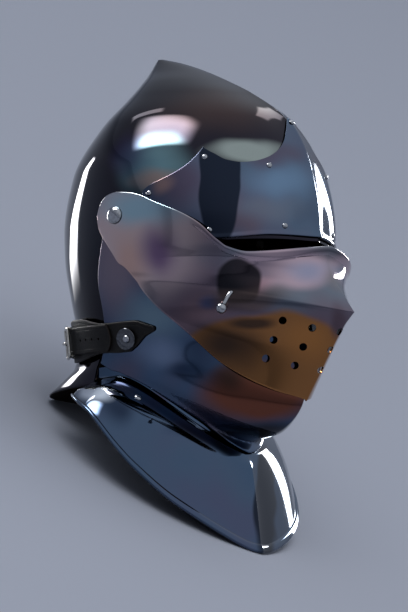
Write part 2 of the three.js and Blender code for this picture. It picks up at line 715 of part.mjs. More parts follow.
function makeProng(radius) {
  const round = new THREE.Shape().absarc(0, 0, radius, 0, 2 * Math.PI);
  const route = new THREE.CatmullRomCurve3(prong.route.map(([turn, lift]) => strapPoint(-turn, 0, lift)));
  return new THREE.ExtrudeGeometry(round, {
    steps: 12, extrudePath: route, bevelEnabled: false, curveSegments: 3,
  });
}

function addBuckleFrame() {
  const front = strapPoint(-buckle.frontTurn, 0, buckle.frontLift);
  const rear = strapPoint(-buckle.rearTurn, 0, buckle.rearLift);
  const middle = front.clone().lerp(rear, 0.5);
  const along = rear.clone().sub(front);
  const width = along.length() + buckle.bar;
  along.normalize();
  const upright = strapPoint(-buckle.frontTurn, strap.halfHeight / 2, buckle.frontLift);
  upright.sub(strapPoint(-buckle.frontTurn, -strap.halfHeight / 2, buckle.frontLift));
  const outward = along.clone().cross(upright).normalize();
  const up = outward.clone().cross(along).normalize();
  const frame = roundedFrame(width, 2 * buckle.halfHeight, buckle.corner);
  const innerCorner = 1;
  frame.holes.push(
    roundedFrame(width - 2 * buckle.bar, 2 * (buckle.halfHeight - buckle.bar), innerCorner),
  );
  const { soft } = buckle;
  const ring = new THREE.ExtrudeGeometry(frame, {
    depth: buckle.bar - 2 * soft, bevelThickness: soft, bevelSize: soft, bevelOffset: -soft, bevelSegments: 1,
    curveSegments: 2,
  });
  ring.translate(0, 0, soft - buckle.bar / 2);
  const mesh = addPiece('buckle_frame', ring, steelLooks.buckle);
  mesh.position.copy(middle);
  mesh.quaternion.setFromRotationMatrix(new THREE.Matrix4().makeBasis(along, up, outward));
}

function roundedFrame(width, height, corner) {
  const [x, y] = [width / 2, height / 2];
  return new THREE.Shape()
    .moveTo(-x + corner, -y)
    .lineTo(x - corner, -y)
    .absarc(x - corner, -y + corner, corner, -Math.PI / 2, 0)
    .lineTo(x, y - corner)
    .absarc(x - corner, y - corner, corner, 0, Math.PI / 2)
    .lineTo(-x + corner, y)
    .absarc(-x + corner, y - corner, corner, Math.PI / 2, Math.PI)
    .lineTo(-x, -y + corner)
    .absarc(-x + corner, -y + corner, corner, Math.PI, 1.5 * Math.PI);
}

// A dished washer, hollow side out, with a domed rivet through it
function addStrapFastening(side, name, lift) {
  const facing = rivetFacing(side);
  const seat = strapPoint(side * strapRivetPlace.turn, strapRivetPlace.drop, lift + gap);
  const { radius, thickness, dish, holeRadius } = washer;
  const profile = [
    [holeRadius, 0], [radius * washer.flat, 0], [radius, dish], [radius, dish + thickness],
    [radius * washer.flatOutside, thickness], [holeRadius, thickness], [holeRadius, 0],
  ];
  const ring = new THREE.LatheGeometry(profile.map(([x, y]) => new THREE.Vector2(x, y)), 16);
  stand(addPiece(`strap_washer_${name}`, ring, steelLooks.bright), seat, facing);
  const grip = washer.thickness + lift + bevorThickness + 2 * gap + burrRoom;
  const rivet = addPiece(`strap_rivet_${name}`, makeRivet(strapRivet, grip, 10), steelLooks.bright);
  stand(rivet, seat.clone().addScaledVector(facing, washer.thickness + gap), facing);
}

addPiece('skull', makeSkull(), steelLooks.skull);
addPiece('brow_plate', makeBrow(), steelLooks.brow);
addBrowRivets();
addPiece('bevor', makeBevor(), steelLooks.bevor);
addPiece('neck_plate', makeNeckPlate(), steelLooks.neck);
addNeckRivets();
addPiece('visor', makeVisor(), steelLooks.visor);
addPiece('lifting_peg', makePeg(), steelLooks.bright);
addPivotRivets();
addPiece('strap_base', makeStrapBase(), leatherLook);
addPiece('neck_strap', makeNeckStrap(), leatherLook);
addBuckleFrame();
addPiece('buckle_prong', makeProng(prong.radius), steelLooks.buckle);
addStrapFastening(-1, 'right', baseLift + baseThickness);
addStrapFastening(1, 'left', baseLift + strap.thickness);

// The helmet lies as it comes to rest by itself: tipped back onto the nape's rim and the neck plate's
// tip. The pitch is the one at which both are equally low.
function lowestPoint(name, pitch) {
  const mesh = helmet.getObjectByName(name);
  const { position } = mesh.geometry.attributes;
  let lowest = Infinity;
  for (let at = 0; at < position.count; at += 1) {
    lowest = Math.min(lowest, position.getZ(at) * Math.cos(pitch) - position.getX(at) * Math.sin(pitch));
  }
  return lowest;
}

function layAtRest() {
  let [steep, shallow] = restPitches;
  for (let pass = 0; pass < 40; pass += 1) {
    const pitch = (steep + shallow) / 2;
    if (lowestPoint('skull', pitch) < lowestPoint('neck_plate', pitch)) steep = pitch;
    else shallow = pitch;
  }
  helmet.rotation.y = (steep + shallow) / 2;
  helmet.updateMatrixWorld(true);
  const box = new THREE.Box3().setFromObject(helmet, true);
  const middle = box.getCenter(new THREE.Vector3());
  helmet.position.set(-middle.x, -middle.y, -box.min.z);
}

layAtRest();

export default helmet;
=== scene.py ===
import math

import bmesh
import bpy
import numpy as np
from mathutils import Matrix, Vector


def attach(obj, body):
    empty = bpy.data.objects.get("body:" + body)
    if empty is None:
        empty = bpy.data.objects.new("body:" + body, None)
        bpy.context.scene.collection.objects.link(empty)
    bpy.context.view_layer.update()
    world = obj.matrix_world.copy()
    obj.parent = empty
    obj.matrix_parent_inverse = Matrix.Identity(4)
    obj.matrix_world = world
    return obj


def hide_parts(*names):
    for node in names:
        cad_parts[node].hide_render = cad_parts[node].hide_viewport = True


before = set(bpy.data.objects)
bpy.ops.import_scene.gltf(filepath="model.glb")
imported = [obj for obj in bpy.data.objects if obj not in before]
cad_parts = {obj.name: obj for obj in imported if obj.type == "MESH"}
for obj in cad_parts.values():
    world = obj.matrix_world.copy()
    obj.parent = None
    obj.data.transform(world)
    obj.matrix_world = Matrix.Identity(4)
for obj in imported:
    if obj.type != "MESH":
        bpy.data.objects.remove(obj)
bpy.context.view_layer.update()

# Shapes are worked out in millimetres with the helmet as worn: x out of the face, y to the wearer's
# left, z up, zero at the visor pivots. laid() tips them back as the helmet rests, in metres.
rest = {"pitch": -36.4335, "x": -52.8308, "z": 177.7444}


def turned(vectors):
    vectors = np.asarray(vectors, float)
    cosine = math.cos(math.radians(rest["pitch"]))
    sine = math.sin(math.radians(rest["pitch"]))
    x = vectors[..., 0] * cosine + vectors[..., 2] * sine
    z = vectors[..., 2] * cosine - vectors[..., 0] * sine
    return np.stack([x, vectors[..., 1], z], -1)


def laid(points):
    return (turned(points) + np.array([rest["x"], 0, rest["z"]])) / 1000


def smoothCurve(places, values):
    # a curve through every value that never overshoots between them
    places, values = np.asarray(places, float), np.asarray(values, float)
    slopes = np.diff(values) / np.diff(places)
    product, total = slopes[:-1] * slopes[1:], slopes[:-1] + slopes[1:]
    inner = np.where(product > 0, 2 * product / np.where(total == 0, 1, total), 0)
    tangents = np.concatenate([slopes[:1], inner, slopes[-1:]])

    def at(place):
        place = np.clip(place, places[0], places[-1])
        low = np.clip(np.searchsorted(places, place, side="right") - 1, 0, len(slopes) - 1)
        width = places[low + 1] - places[low]
        part = (place - places[low]) / width
        left = 1 - part
        return (values[low] * left * left * (1 + 2 * part)
                + values[low + 1] * part * part * (3 - 2 * part)
                + width * (tangents[low] * part * left * left - tangents[low + 1] * part * part * left))
    return at


class PlateSheet:
    # rows of frontX, frontZ, sideZ, middleX, backX, halfWidth, frontBow, frontRound, backRound, ridge
    ridgeWidth = 9.0  # how far the crease along the middle reaches to the sides
    frontSag = 1.5  # how late a row bends down from its side to its front

    def __init__(self, rows):
        rows = np.array(rows, float)
        front = np.hypot(np.diff(rows[:, 0]), np.diff(rows[:, 1]))
        side = np.hypot(np.diff(rows[:, 5]), np.diff(rows[:, 2]))
        places = np.concatenate([[0], np.cumsum(front + side)])
        self.curves = [smoothCurve(places / places[-1], rows[:, k]) for k in range(10)]

    def bare(self, turn, level):
        turn, level = np.broadcast_arrays(np.asarray(turn, float), np.asarray(level, float))
        (frontX, frontZ, sideZ, middleX, backX, halfWidth, frontBow, frontRound, backRound,
         ridge) = [curve(level) for curve in self.curves]
        ahead, aside = np.cos(turn), np.abs(np.sin(turn))
        toFront = ahead > 0
        along = np.abs(ahead) ** (2 / np.where(toFront, frontBow, 2))
        y = np.sign(turn) * halfWidth * aside ** (2 / np.where(toFront, frontRound, backRound))
        reach = np.where(toFront, frontX, backX) - middleX
        crease = np.where(toFront, ridge * np.exp(-np.abs(y) / self.ridgeWidth), 0)
        z = np.where(toFront, sideZ + (frontZ - sideZ) * along ** self.frontSag, sideZ)
        return np.stack([middleX + reach * along + crease, y, z], -1)

    def normal(self, turn, level):
        step = 1e-3
        turn, level = np.broadcast_arrays(np.asarray(turn, float), np.asarray(level, float))
        inner = np.maximum(np.abs(turn), 2 * step) * np.where(turn < 0, -1, 1)
        across = self.bare(inner + step, level) - self.bare(inner - step, level)
        above, below = np.minimum(level + step, 1), np.maximum(level - step, 0)
        up = self.bare(inner, above) - self.bare(inner, below)
        facing = np.cross(across, up)
        onMiddle = (np.abs(turn) < step) | (np.abs(turn) > math.pi - step)
        facing[..., 1] = np.where(onMiddle, 0, facing[..., 1])
        return facing / np.linalg.norm(facing, axis=-1, keepdims=True)

    def point(self, turn, level, lift=0.0):
        return self.bare(turn, level) + self.normal(turn, level) * np.asarray(lift, float)[..., None]

    def levelAt(self, turn, z):
        low, high = np.zeros(np.shape(turn)), np.ones(np.shape(turn))
        for _ in range(32):
            half = (low + high) / 2
            below = self.bare(turn, half)[..., 2] < z
            low, high = np.where(below, half, low), np.where(below, high, half)
        return (low + high) / 2

    def placeWhere(self, z, high, isBefore):
        # the turn and level at height z where the test first fails, between the front and high
        low = 0.0
        for _ in range(32):
            half = (low + high) / 2
            before = isBefore(self.bare(half, self.levelAt(half, z)))
            low, high = (half, high) if before else (low, half)
        return (low + high) / 2, float(self.levelAt((low + high) / 2, z))

    def placeAt(self, x, z):
        return self.placeWhere(z, math.pi, lambda spot: spot[0] > x)

    def placeAcross(self, y, z):
        return self.placeWhere(z, math.pi / 2, lambda spot: spot[1] < y)


def edgeLevels(sheet, edge):
    # an edge drawn from the side, as levels over turns
    places = sorted(sheet.placeAt(x, z) for x, z in edge)
    kept = [place for k, place in enumerate(places) if k == 0 or place[0] - places[k - 1][0] > 1e-4]
    return smoothCurve([place[0] for place in kept], [place[1] for place in kept])


def plateGrids(sheet, top, lower, across, rows, inner, thickness, rear=None, bead=None):
    # outer and inner grid of a plate between its edges, columns first and closer in the middle
    topLevels, lowerLevels = edgeLevels(sheet, top), edgeLevels(sheet, lower)
    part = np.linspace(0, 1, rows + 1)
    if rear:
        turns = [sheet.placeAt(x, z)[0] for x, z in rear]
        rearTurn = smoothCurve(np.linspace(0, 1, len(rear)), turns)(part)
    else:
        lowerEnd, topEnd = sheet.placeAt(*lower[-1])[0], sheet.placeAt(*top[-1])[0]
        rearTurn = lowerEnd + (topEnd - lowerEnd) * part
    spread = np.linspace(-1, 1, 2 * across + 1)
    column = np.sign(spread) * np.abs(spread) ** 1.15
    turn = column[:, None] * rearTurn[None, :]
    low, high = lowerLevels(np.abs(turn)), topLevels(np.abs(turn))
    level = low + (high - low) * part[None, :]
    swell = 0 if bead is None else bead(part[None, :], turn)
    lift = np.broadcast_to(inner + thickness + swell, turn.shape)
    return sheet.point(turn, level, lift), sheet.point(turn, level, np.full(turn.shape, float(inner)))


def roundedEnds(middle, half, axis, ends):
    # extra rows or columns that round the sheet's edge off
    angles = np.radians([30, 58, 82])
    middle, half = np.moveaxis(middle, axis, 0), np.moveaxis(half, axis, 0)
    for end in ends:
        neighbour = 1 if end == 0 else -2
        away = middle[end] - middle[neighbour]
        away /= np.maximum(np.linalg.norm(away, axis=-1, keepdims=True), 1e-9)
        size = np.linalg.norm(half[end], axis=-1, keepdims=True)
        extraMiddle = np.stack([middle[end] + away * size * math.sin(a) for a in angles])
        extraHalf = np.stack([half[end] * math.cos(a) for a in angles])
        if end == 0:
            middle = np.concatenate([extraMiddle[::-1], middle])
            half = np.concatenate([extraHalf[::-1], half])
        else:
            middle = np.concatenate([middle, extraMiddle])
            half = np.concatenate([half, extraHalf])
    return np.moveaxis(middle, 0, axis), np.moveaxis(half, 0, axis)


def meshPiece(name, vertices, faces, smoothAngle=35):
    mesh = bpy.data.meshes.new(name)
    mesh.from_pydata([tuple(v) for v in vertices], [], faces)
    mesh.validate()
    mesh.shade_smooth()
    mesh.set_sharp_from_angle(angle=math.radians(smoothAngle))
    piece = bpy.data.objects.new(name, mesh)
    bpy.context.scene.collection.objects.link(piece)
    return piece


def shellPiece(name, outer, inner, ring=False, crown=None, uv=None, edge=None):
    # a closed shell between two grids, with round edges; a ring is closed by its crown instead
    middle, half = (outer + inner) / 2, (outer - inner) / 2
    if ring:
        middle, half = roundedEnds(middle, half, 1, [0])
    else:
        middle, half = roundedEnds(middle, half, 0, [0, -1])
        middle, half = roundedEnds(middle, half, 1, [0, -1])
    columns, rows = middle.shape[:2]
    count = columns * rows
    at = np.arange(count).reshape(columns, rows)
    run = np.vstack([at, at[:1]]) if ring else at
    a, b, c, d = run[:-1, :-1], run[1:, :-1], run[1:, 1:], run[:-1, 1:]
    quads = [np.stack([a, b, c, d], -1).reshape(-1, 4),
             np.stack([a, d, c, b], -1).reshape(-1, 4) + count]
    first, following = run[:-1, 0], run[1:, 0]
    quads.append(np.stack([first, first + count, following + count, following], -1))
    vertices = [(middle + half).reshape(-1, 3), (middle - half).reshape(-1, 3)]
    triangles = []
    if ring:
        tip = 2 * count
        vertices.append(np.array(crown, float))
        for k in range(columns):
            here, there = int(run[k, -1]), int(run[k + 1, -1])
            triangles += [(here, there, tip), (there + count, here + count, tip + 1)]
    else:
        first, following = run[:-1, -1], run[1:, -1]
        quads.append(np.stack([first, following, following + count, first + count], -1))
        quads.append(np.stack([at[0, :-1], at[0, 1:], at[0, 1:] + count, at[0, :-1] + count], -1))
        quads.append(np.stack([at[-1, :-1], at[-1, :-1] + count, at[-1, 1:] + count, at[-1, 1:]], -1))
    faces = [tuple(int(v) for v in quad) for part in quads for quad in part] + triangles
    piece = meshPiece(name, laid(np.concatenate(vertices)), faces)
    mesh = piece.data
    hidden = np.zeros(len(mesh.vertices), np.float32)
    hidden[count:2 * count] = 1
    if ring:
        hidden[-1] = 1
    mesh.attributes.new("inside", "FLOAT", "POINT").data.foreach_set("value", hidden)
    if uv is not None:
        grown = np.pad(uv, ((3, 3), (3, 3), (0, 0)), mode="edge").reshape(-1, 2)
        grown = np.concatenate([grown, grown])
        corners = np.zeros(len(mesh.loops), np.int32)
        mesh.loops.foreach_get("vertex_index", corners)
        mesh.uv_layers.new(name="alongStrap").data.foreach_set("uv", grown[corners].ravel())
        rim = np.pad(edge, ((3, 3), (3, 3)), constant_values=0).ravel()
        rim = np.concatenate([rim, rim]).astype(np.float32)
        mesh.attributes.new("fromEdge", "FLOAT", "POINT").data.foreach_set("value", rim)
    return piece


def lathePiece(name, profile, places, segments=40):
    # a profile of (radius, height) turned round each place's facing
    vertices, faces = [], []
    for place, facing in places:
        toFacing = Vector((0, 0, 1)).rotation_difference(Vector(facing)).to_matrix()
        start, rings = len(vertices), []
        for radius, height in profile:
            if radius < 1e-6:
                vertices.append(Vector(place) + toFacing @ Vector((0, 0, height)))
                rings.append([len(vertices) - 1] * segments)
                continue
            rings.append(list(range(len(vertices), len(vertices) + segments)))
            for k in range(segments):
                angle = 2 * math.pi * k / segments
                spot = Vector((radius * math.cos(angle), radius * math.sin(angle), height))
                vertices.append(Vector(place) + toFacing @ spot)
        for low, high in zip(rings, rings[1:]):
            for k in range(segments):
                n = (k + 1) % segments
                corners = list(dict.fromkeys([low[k], low[n], high[n], high[k]]))
                if len(corners) > 2:
                    faces.append(tuple(corners))
    return meshPiece(name, laid([tuple(v) for v in vertices]), faces, 40)


def sweptPiece(name, route, radii, upright, closed=False, sides=14):
    # a round bar along the route
    route = np.asarray(route, float)
    count = len(route)
    vertices, faces = [], []
    for k in range(count):
        if closed:
            along = route[(k + 1) % count] - route[k - 1]
        else:
            along = route[min(k + 1, count - 1)] - route[max(k - 1, 0)]
        along = Vector(along).normalized()
        side = Vector(upright).cross(along).normalized()
        over = along.cross(side).normalized()
        for s in range(sides):
            angle = 2 * math.pi * s / sides
            spot = side * math.cos(angle) + over * math.sin(angle)
            vertices.append(Vector(route[k]) + spot * radii[k])
    for k in range(count if closed else count - 1):
        for s in range(sides):
            n, up = (s + 1) % sides, (k + 1) % count
            faces.append((k * sides + s, k * sides + n, up * sides + n, up * sides + s))
    if not closed:
        faces.append(tuple(range(sides))[::-1])
        faces.append(tuple(range((count - 1) * sides, count * sides)))
    return meshPiece(name, laid([tuple(v) for v in vertices]), faces, 50)


def routeThrough(knots, count):
    # a smooth route through the knots, how far along it they lie, and how far its points lie
    spans = np.concatenate([[0], np.cumsum(np.linalg.norm(np.diff(knots, axis=0), axis=-1))])
    steps = np.linspace(0, spans[-1], count)
    route = np.stack([smoothCurve(spans, knots[:, axis])(steps) for axis in range(3)], -1)
    return route, spans, steps


def takeIn(piece, other):
    # adds the other piece's mesh to the piece
    joined = bmesh.new()
    joined.from_mesh(piece.data)
    joined.from_mesh(other.data)
    bmesh.ops.recalc_face_normals(joined, faces=joined.faces)
    joined.to_mesh(piece.data)
    joined.free()
    bpy.data.objects.remove(other)


def keepShape(piece, modifier):
    # keeps what the modifier makes as a plain mesh
    seen = piece.evaluated_get(bpy.context.evaluated_depsgraph_get())
    mesh = bpy.data.meshes.new_from_object(seen)
    piece.modifiers.remove(modifier)
    piece.data = mesh
    mesh.set_sharp_from_angle(angle=math.radians(35))


def hexColour(text):
    # an sRGB hex value as linear numbers
    values = [int(text[k:k + 2], 16) / 255 for k in (1, 3, 5)]
    return tuple(v / 12.92 if v <= 0.04045 else ((v + 0.055) / 1.055) ** 2.4 for v in values) + (1.0,)


def addNode(tree, kind, settings=None, inputs=None, stops=()):
    # adds a node, sets its options and colour stops, and sets or links its inputs
    node = tree.nodes.new(kind)
    for key, value in (settings or {}).items():
        setattr(node, key, value)
    for key, value in (inputs or {}).items():
        if isinstance(value, bpy.types.NodeSocket):
            tree.links.new(value, node.inputs[key])
        else:
            node.inputs[key].default_value = value
    for k, (position, colour) in enumerate(stops):
        elements = node.color_ramp.elements
        element = elements[k] if k < len(elements) else elements.new(position)
        element.position, element.color = position, hexColour(colour)
    return node


def newMaterial(name):
    material = bpy.data.materials.new(name)
    material.use_nodes = True
    material.node_tree.nodes.clear()
    return material, material.node_tree


# The camera stands where the photograph was taken from. The helmet lies back, so the camera leans.
camera = {
    "right": (0.634, 0.616, 0.468), "up": (-0.509, -0.123, 0.852), "back": (0.582, -0.778, 0.236),
    "target": (-0.0148, 0.0141, 0.1303), "distance": 14.0, "fieldHeight": 0.5018,
}


def cameraTurn():
    back = Vector(camera["back"]).normalized()
    right = Vector(camera["right"])
    right = (right - back * right.dot(back)).normalized()
    return Matrix((right, back.cross(right), back)).transposed()


# the colours are measured along and up the side that the photograph shows
patchTurn = tuple(cameraTurn().to_euler())


# Mirror-polished steel that was blued by heat. The oxide film gives drifting blue, violet and straw
# colours, so the colour lives in the metal's own base colour and the reflections take its tint.
# The patches laid over it are partly temper colours and partly painted reflections: pale patches are
# painted highlights, near-black ones painted dark reflections and painted shade in creases.
def bluedSteel(name, look):
    material, tree = newMaterial(name)
    coords = addNode(tree, "ShaderNodeTexCoord").outputs["Object"]
    drift = addNode(tree, "ShaderNodeTexNoise", inputs={
        "Vector": coords, "Scale": 1 / look["driftSize"], "Detail": 2.0, "Roughness": 0.45})
    colour = addNode(tree, "ShaderNodeValToRGB", inputs={"Fac": drift.outputs["Fac"]},
                     stops=look["film"]).outputs["Color"]
    # the patches' rims wander by up to 9 mm over some 45 mm
    wander = addNode(tree, "ShaderNodeTexNoise", inputs={
        "Vector": coords, "Scale": 1 / 0.045, "Detail": 1.0})
    shift = addNode(tree, "ShaderNodeVectorMath", {"operation": "MULTIPLY_ADD"}, {
        0: wander.outputs["Color"], 1: (0.018, 0.018, 0.018), 2: (-0.009, -0.009, -0.009)})
    # both sides are coloured alike
    parts = addNode(tree, "ShaderNodeSeparateXYZ", inputs={0: coords})
    aside = addNode(tree, "ShaderNodeMath", {"operation": "ABSOLUTE"}, {0: parts.outputs["Y"]})
    right = addNode(tree, "ShaderNodeMath", {"operation": "MULTIPLY"}, {0: aside.outputs[0], 1: -1.0})
    folded = addNode(tree, "ShaderNodeCombineXYZ", inputs={
        "X": parts.outputs["X"], "Y": right.outputs[0], "Z": parts.outputs["Z"]})
    wandered = addNode(tree, "ShaderNodeVectorMath", {"operation": "ADD"}, {
        0: folded.outputs[0] if look["bothSides"] else coords, 1: shift.outputs[0]}).outputs[0]
    # each patch blends in a colour: temper colours, and also painted highlights and painted dark reflections
    for x, y, z, along, high, soft, temperAndReflectionColour, strength in look["temperAndReflectionPatches"]:
        place = addNode(tree, "ShaderNodeMapping", {"vector_type": "TEXTURE"}, {
            "Vector": wandered, "Location": tuple(float(v) for v in laid([x, y, z])),
            "Rotation": patchTurn, "Scale": (along / 1000, high / 1000, 0.06)})
        far = addNode(tree, "ShaderNodeVectorMath", {"operation": "LENGTH"}, {0: place.outputs[0]})
        near = addNode(tree, "ShaderNodeMapRange", {"interpolation_type": "SMOOTHSTEP"}, {
            "Value": far.outputs["Value"], "From Min": 1 - soft, "From Max": 1.0,
            "To Min": strength, "To Max": 0.0})
        colour = addNode(tree, "ShaderNodeMix", {"data_type": "RGBA"}, {
            0: near.outputs["Result"], 6: colour, 7: hexColour(temperAndReflectionColour)}).outputs[2]
    inside = addNode(tree, "ShaderNodeAttribute", {"attribute_name": "inside"}).outputs["Fac"]
    colour = addNode(tree, "ShaderNodeMix", {"data_type": "RGBA"}, {
        0: inside, 6: colour, 7: hexColour(look["innerColour"])}).outputs[2]
    # buffing leaves faint clouds of haze about 30 mm across, and the hammered plate swells a little
    haze = addNode(tree, "ShaderNodeTexNoise", inputs={
        "Vector": coords, "Scale": 1 / 0.03, "Detail": 6.0, "Roughness": 0.6})
    polish = addNode(tree, "ShaderNodeMapRange", inputs={
        "Value": haze.outputs["Fac"], "From Min": 0.35, "From Max": 0.7,
        "To Min": look["roughness"] * 0.75, "To Max": look["roughness"] * 1.35})
    rough = addNode(tree, "ShaderNodeMath", {"operation": "MULTIPLY_ADD", "use_clamp": True}, {
        0: inside, 1: 0.3, 2: polish.outputs["Result"]})
    swell = addNode(tree, "ShaderNodeTexNoise", inputs={
        "Vector": coords, "Scale": 1 / 0.04, "Detail": 1.0, "Roughness": 0.3})
    bump = addNode(tree, "ShaderNodeBump", inputs={
        "Strength": 0.06, "Distance": 0.0012, "Height": swell.outputs["Fac"]})
    shader = addNode(tree, "ShaderNodeBsdfPrincipled", inputs={
        "Base Color": colour, "Metallic": 1.0, "Roughness": rough.outputs["Value"],
        "Coat Weight": 0.3, "Coat Roughness": 0.04, "Normal": bump.outputs["Normal"]})
    addNode(tree, "ShaderNodeOutputMaterial", inputs={"Surface": shader.outputs["BSDF"]})
    return material


# Bare steel, turned and buffed: bright, with the faint haze and small dents of handling
def buffedSteel(name, look):
    material, tree = newMaterial(name)
    coords = addNode(tree, "ShaderNodeTexCoord").outputs["Object"]
    haze = addNode(tree, "ShaderNodeTexNoise", inputs={
        "Vector": coords, "Scale": 1 / look["grain"], "Detail": 4.0})
    tint = addNode(tree, "ShaderNodeValToRGB", inputs={"Fac": haze.outputs["Fac"]},
                   stops=[(0.3, look["dark"]), (0.7, look["light"])])
    polish = addNode(tree, "ShaderNodeMapRange", inputs={
        "Value": haze.outputs["Fac"], "From Min": 0.3, "From Max": 0.7,
        "To Min": look["roughness"], "To Max": look["roughness"] * 1.8})
    bump = addNode(tree, "ShaderNodeBump", inputs={
        "Strength": 0.15, "Distance": 0.0001, "Height": haze.outputs["Fac"]})
    shader = addNode(tree, "ShaderNodeBsdfPrincipled", inputs={
        "Base Color": tint.outputs["Color"], "Metallic": 1.0, "Roughness": polish.outputs["Result"],
        "Normal": bump.outputs["Normal"]})
    addNode(tree, "ShaderNodeOutputMaterial", inputs={"Surface": shader.outputs["BSDF"]})
    return material


# Vegetable-tanned leather, dyed black and waxed: a fine pebble of pores, a creased line along both
# edges, and edges rubbed paler
def blackLeather(name, look):
    material, tree = newMaterial(name)
    coords = addNode(tree, "ShaderNodeTexCoord").outputs["Object"]
    pores = addNode(tree, "ShaderNodeTexVoronoi", {"feature": "DISTANCE_TO_EDGE"}, {
        "Vector": coords, "Scale": 1 / look["pore"], "Randomness": 1.0})
    clouds = addNode(tree, "ShaderNodeTexNoise", inputs={
        "Vector": coords, "Scale": 1 / 0.012, "Detail": 5.0})
    tint = addNode(tree, "ShaderNodeValToRGB", inputs={"Fac": clouds.outputs["Fac"]},
                   stops=[(0.35, look["dark"]), (0.7, look["light"])])
    fromEdge = addNode(tree, "ShaderNodeAttribute", {"attribute_name": "fromEdge"}).outputs["Fac"]
    rubbed = addNode(tree, "ShaderNodeMapRange", inputs={
        "Value": fromEdge, "From Min": 0.0, "From Max": 0.9, "To Min": 0.75, "To Max": 0.0})
    colour = addNode(tree, "ShaderNodeMix", {"data_type": "RGBA"}, {
        0: rubbed.outputs["Result"], 6: tint.outputs["Color"], 7: hexColour(look["edge"])}).outputs[2]
    offLine = addNode(tree, "ShaderNodeMath", {"operation": "COMPARE"}, {
        0: fromEdge, 1: look["line"], 2: look["lineWidth"] / 2})
    height = addNode(tree, "ShaderNodeMath", {"operation": "MULTIPLY_ADD"}, {
        0: offLine.outputs["Value"], 1: -0.5, 2: pores.outputs["Distance"]})
    bump = addNode(tree, "ShaderNodeBump", inputs={
        "Strength": 0.5, "Distance": 0.0004, "Height": height.outputs["Value"]})
    polish = addNode(tree, "ShaderNodeMapRange", inputs={
        "Value": clouds.outputs["Fac"], "From Min": 0.3, "From Max": 0.7,
        "To Min": 0.3, "To Max": 0.46})
    shader = addNode(tree, "ShaderNodeBsdfPrincipled", inputs={
        "Base Color": colour, "Roughness": polish.outputs["Result"], "Specular IOR Level": 0.2,
        "Normal": bump.outputs["Normal"]})
    addNode(tree, "ShaderNodeOutputMaterial", inputs={"Surface": shader.outputs["BSDF"]})
    return material


# Geometry Nodes for what repeats
def newTree(name, sockets):
    tree = bpy.data.node_groups.new(name, "GeometryNodeTree")
    tree.interface.new_socket("Geometry", in_out="INPUT", socket_type="NodeSocketGeometry")
    for socket, kind in sockets:
        tree.interface.new_socket(socket, in_out="INPUT", socket_type=kind)
    tree.interface.new_socket("Geometry", in_out="OUTPUT", socket_type="NodeSocketGeometry")
    return tree, addNode(tree, "NodeGroupInput").outputs


def closeTree(tree, geometry, material):
    real = addNode(tree, "GeometryNodeRealizeInstances", inputs={"Geometry": geometry})
    smooth = addNode(tree, "GeometryNodeSetShadeSmooth", inputs={"Geometry": real.outputs[0]})
    painted = addNode(tree, "GeometryNodeSetMaterial", inputs={
        "Geometry": smooth.outputs[0], "Material": material})
    addNode(tree, "NodeGroupOutput", inputs={0: painted.outputs[0]})


def standingOn(tree, points, instance):
    # one instance on each point, its Z along the point's own facing
    facing = addNode(tree, "GeometryNodeInputNamedAttribute", {"data_type": "FLOAT_VECTOR"}, {
        "Name": "facing"})
    turn = addNode(tree, "FunctionNodeAlignRotationToVector", {"axis": "Z"}, {
        "Vector": facing.outputs["Attribute"]})
    return addNode(tree, "GeometryNodeInstanceOnPoints", inputs={
        "Points": points, "Instance": instance, "Rotation": turn.outputs["Rotation"]}).outputs[0]


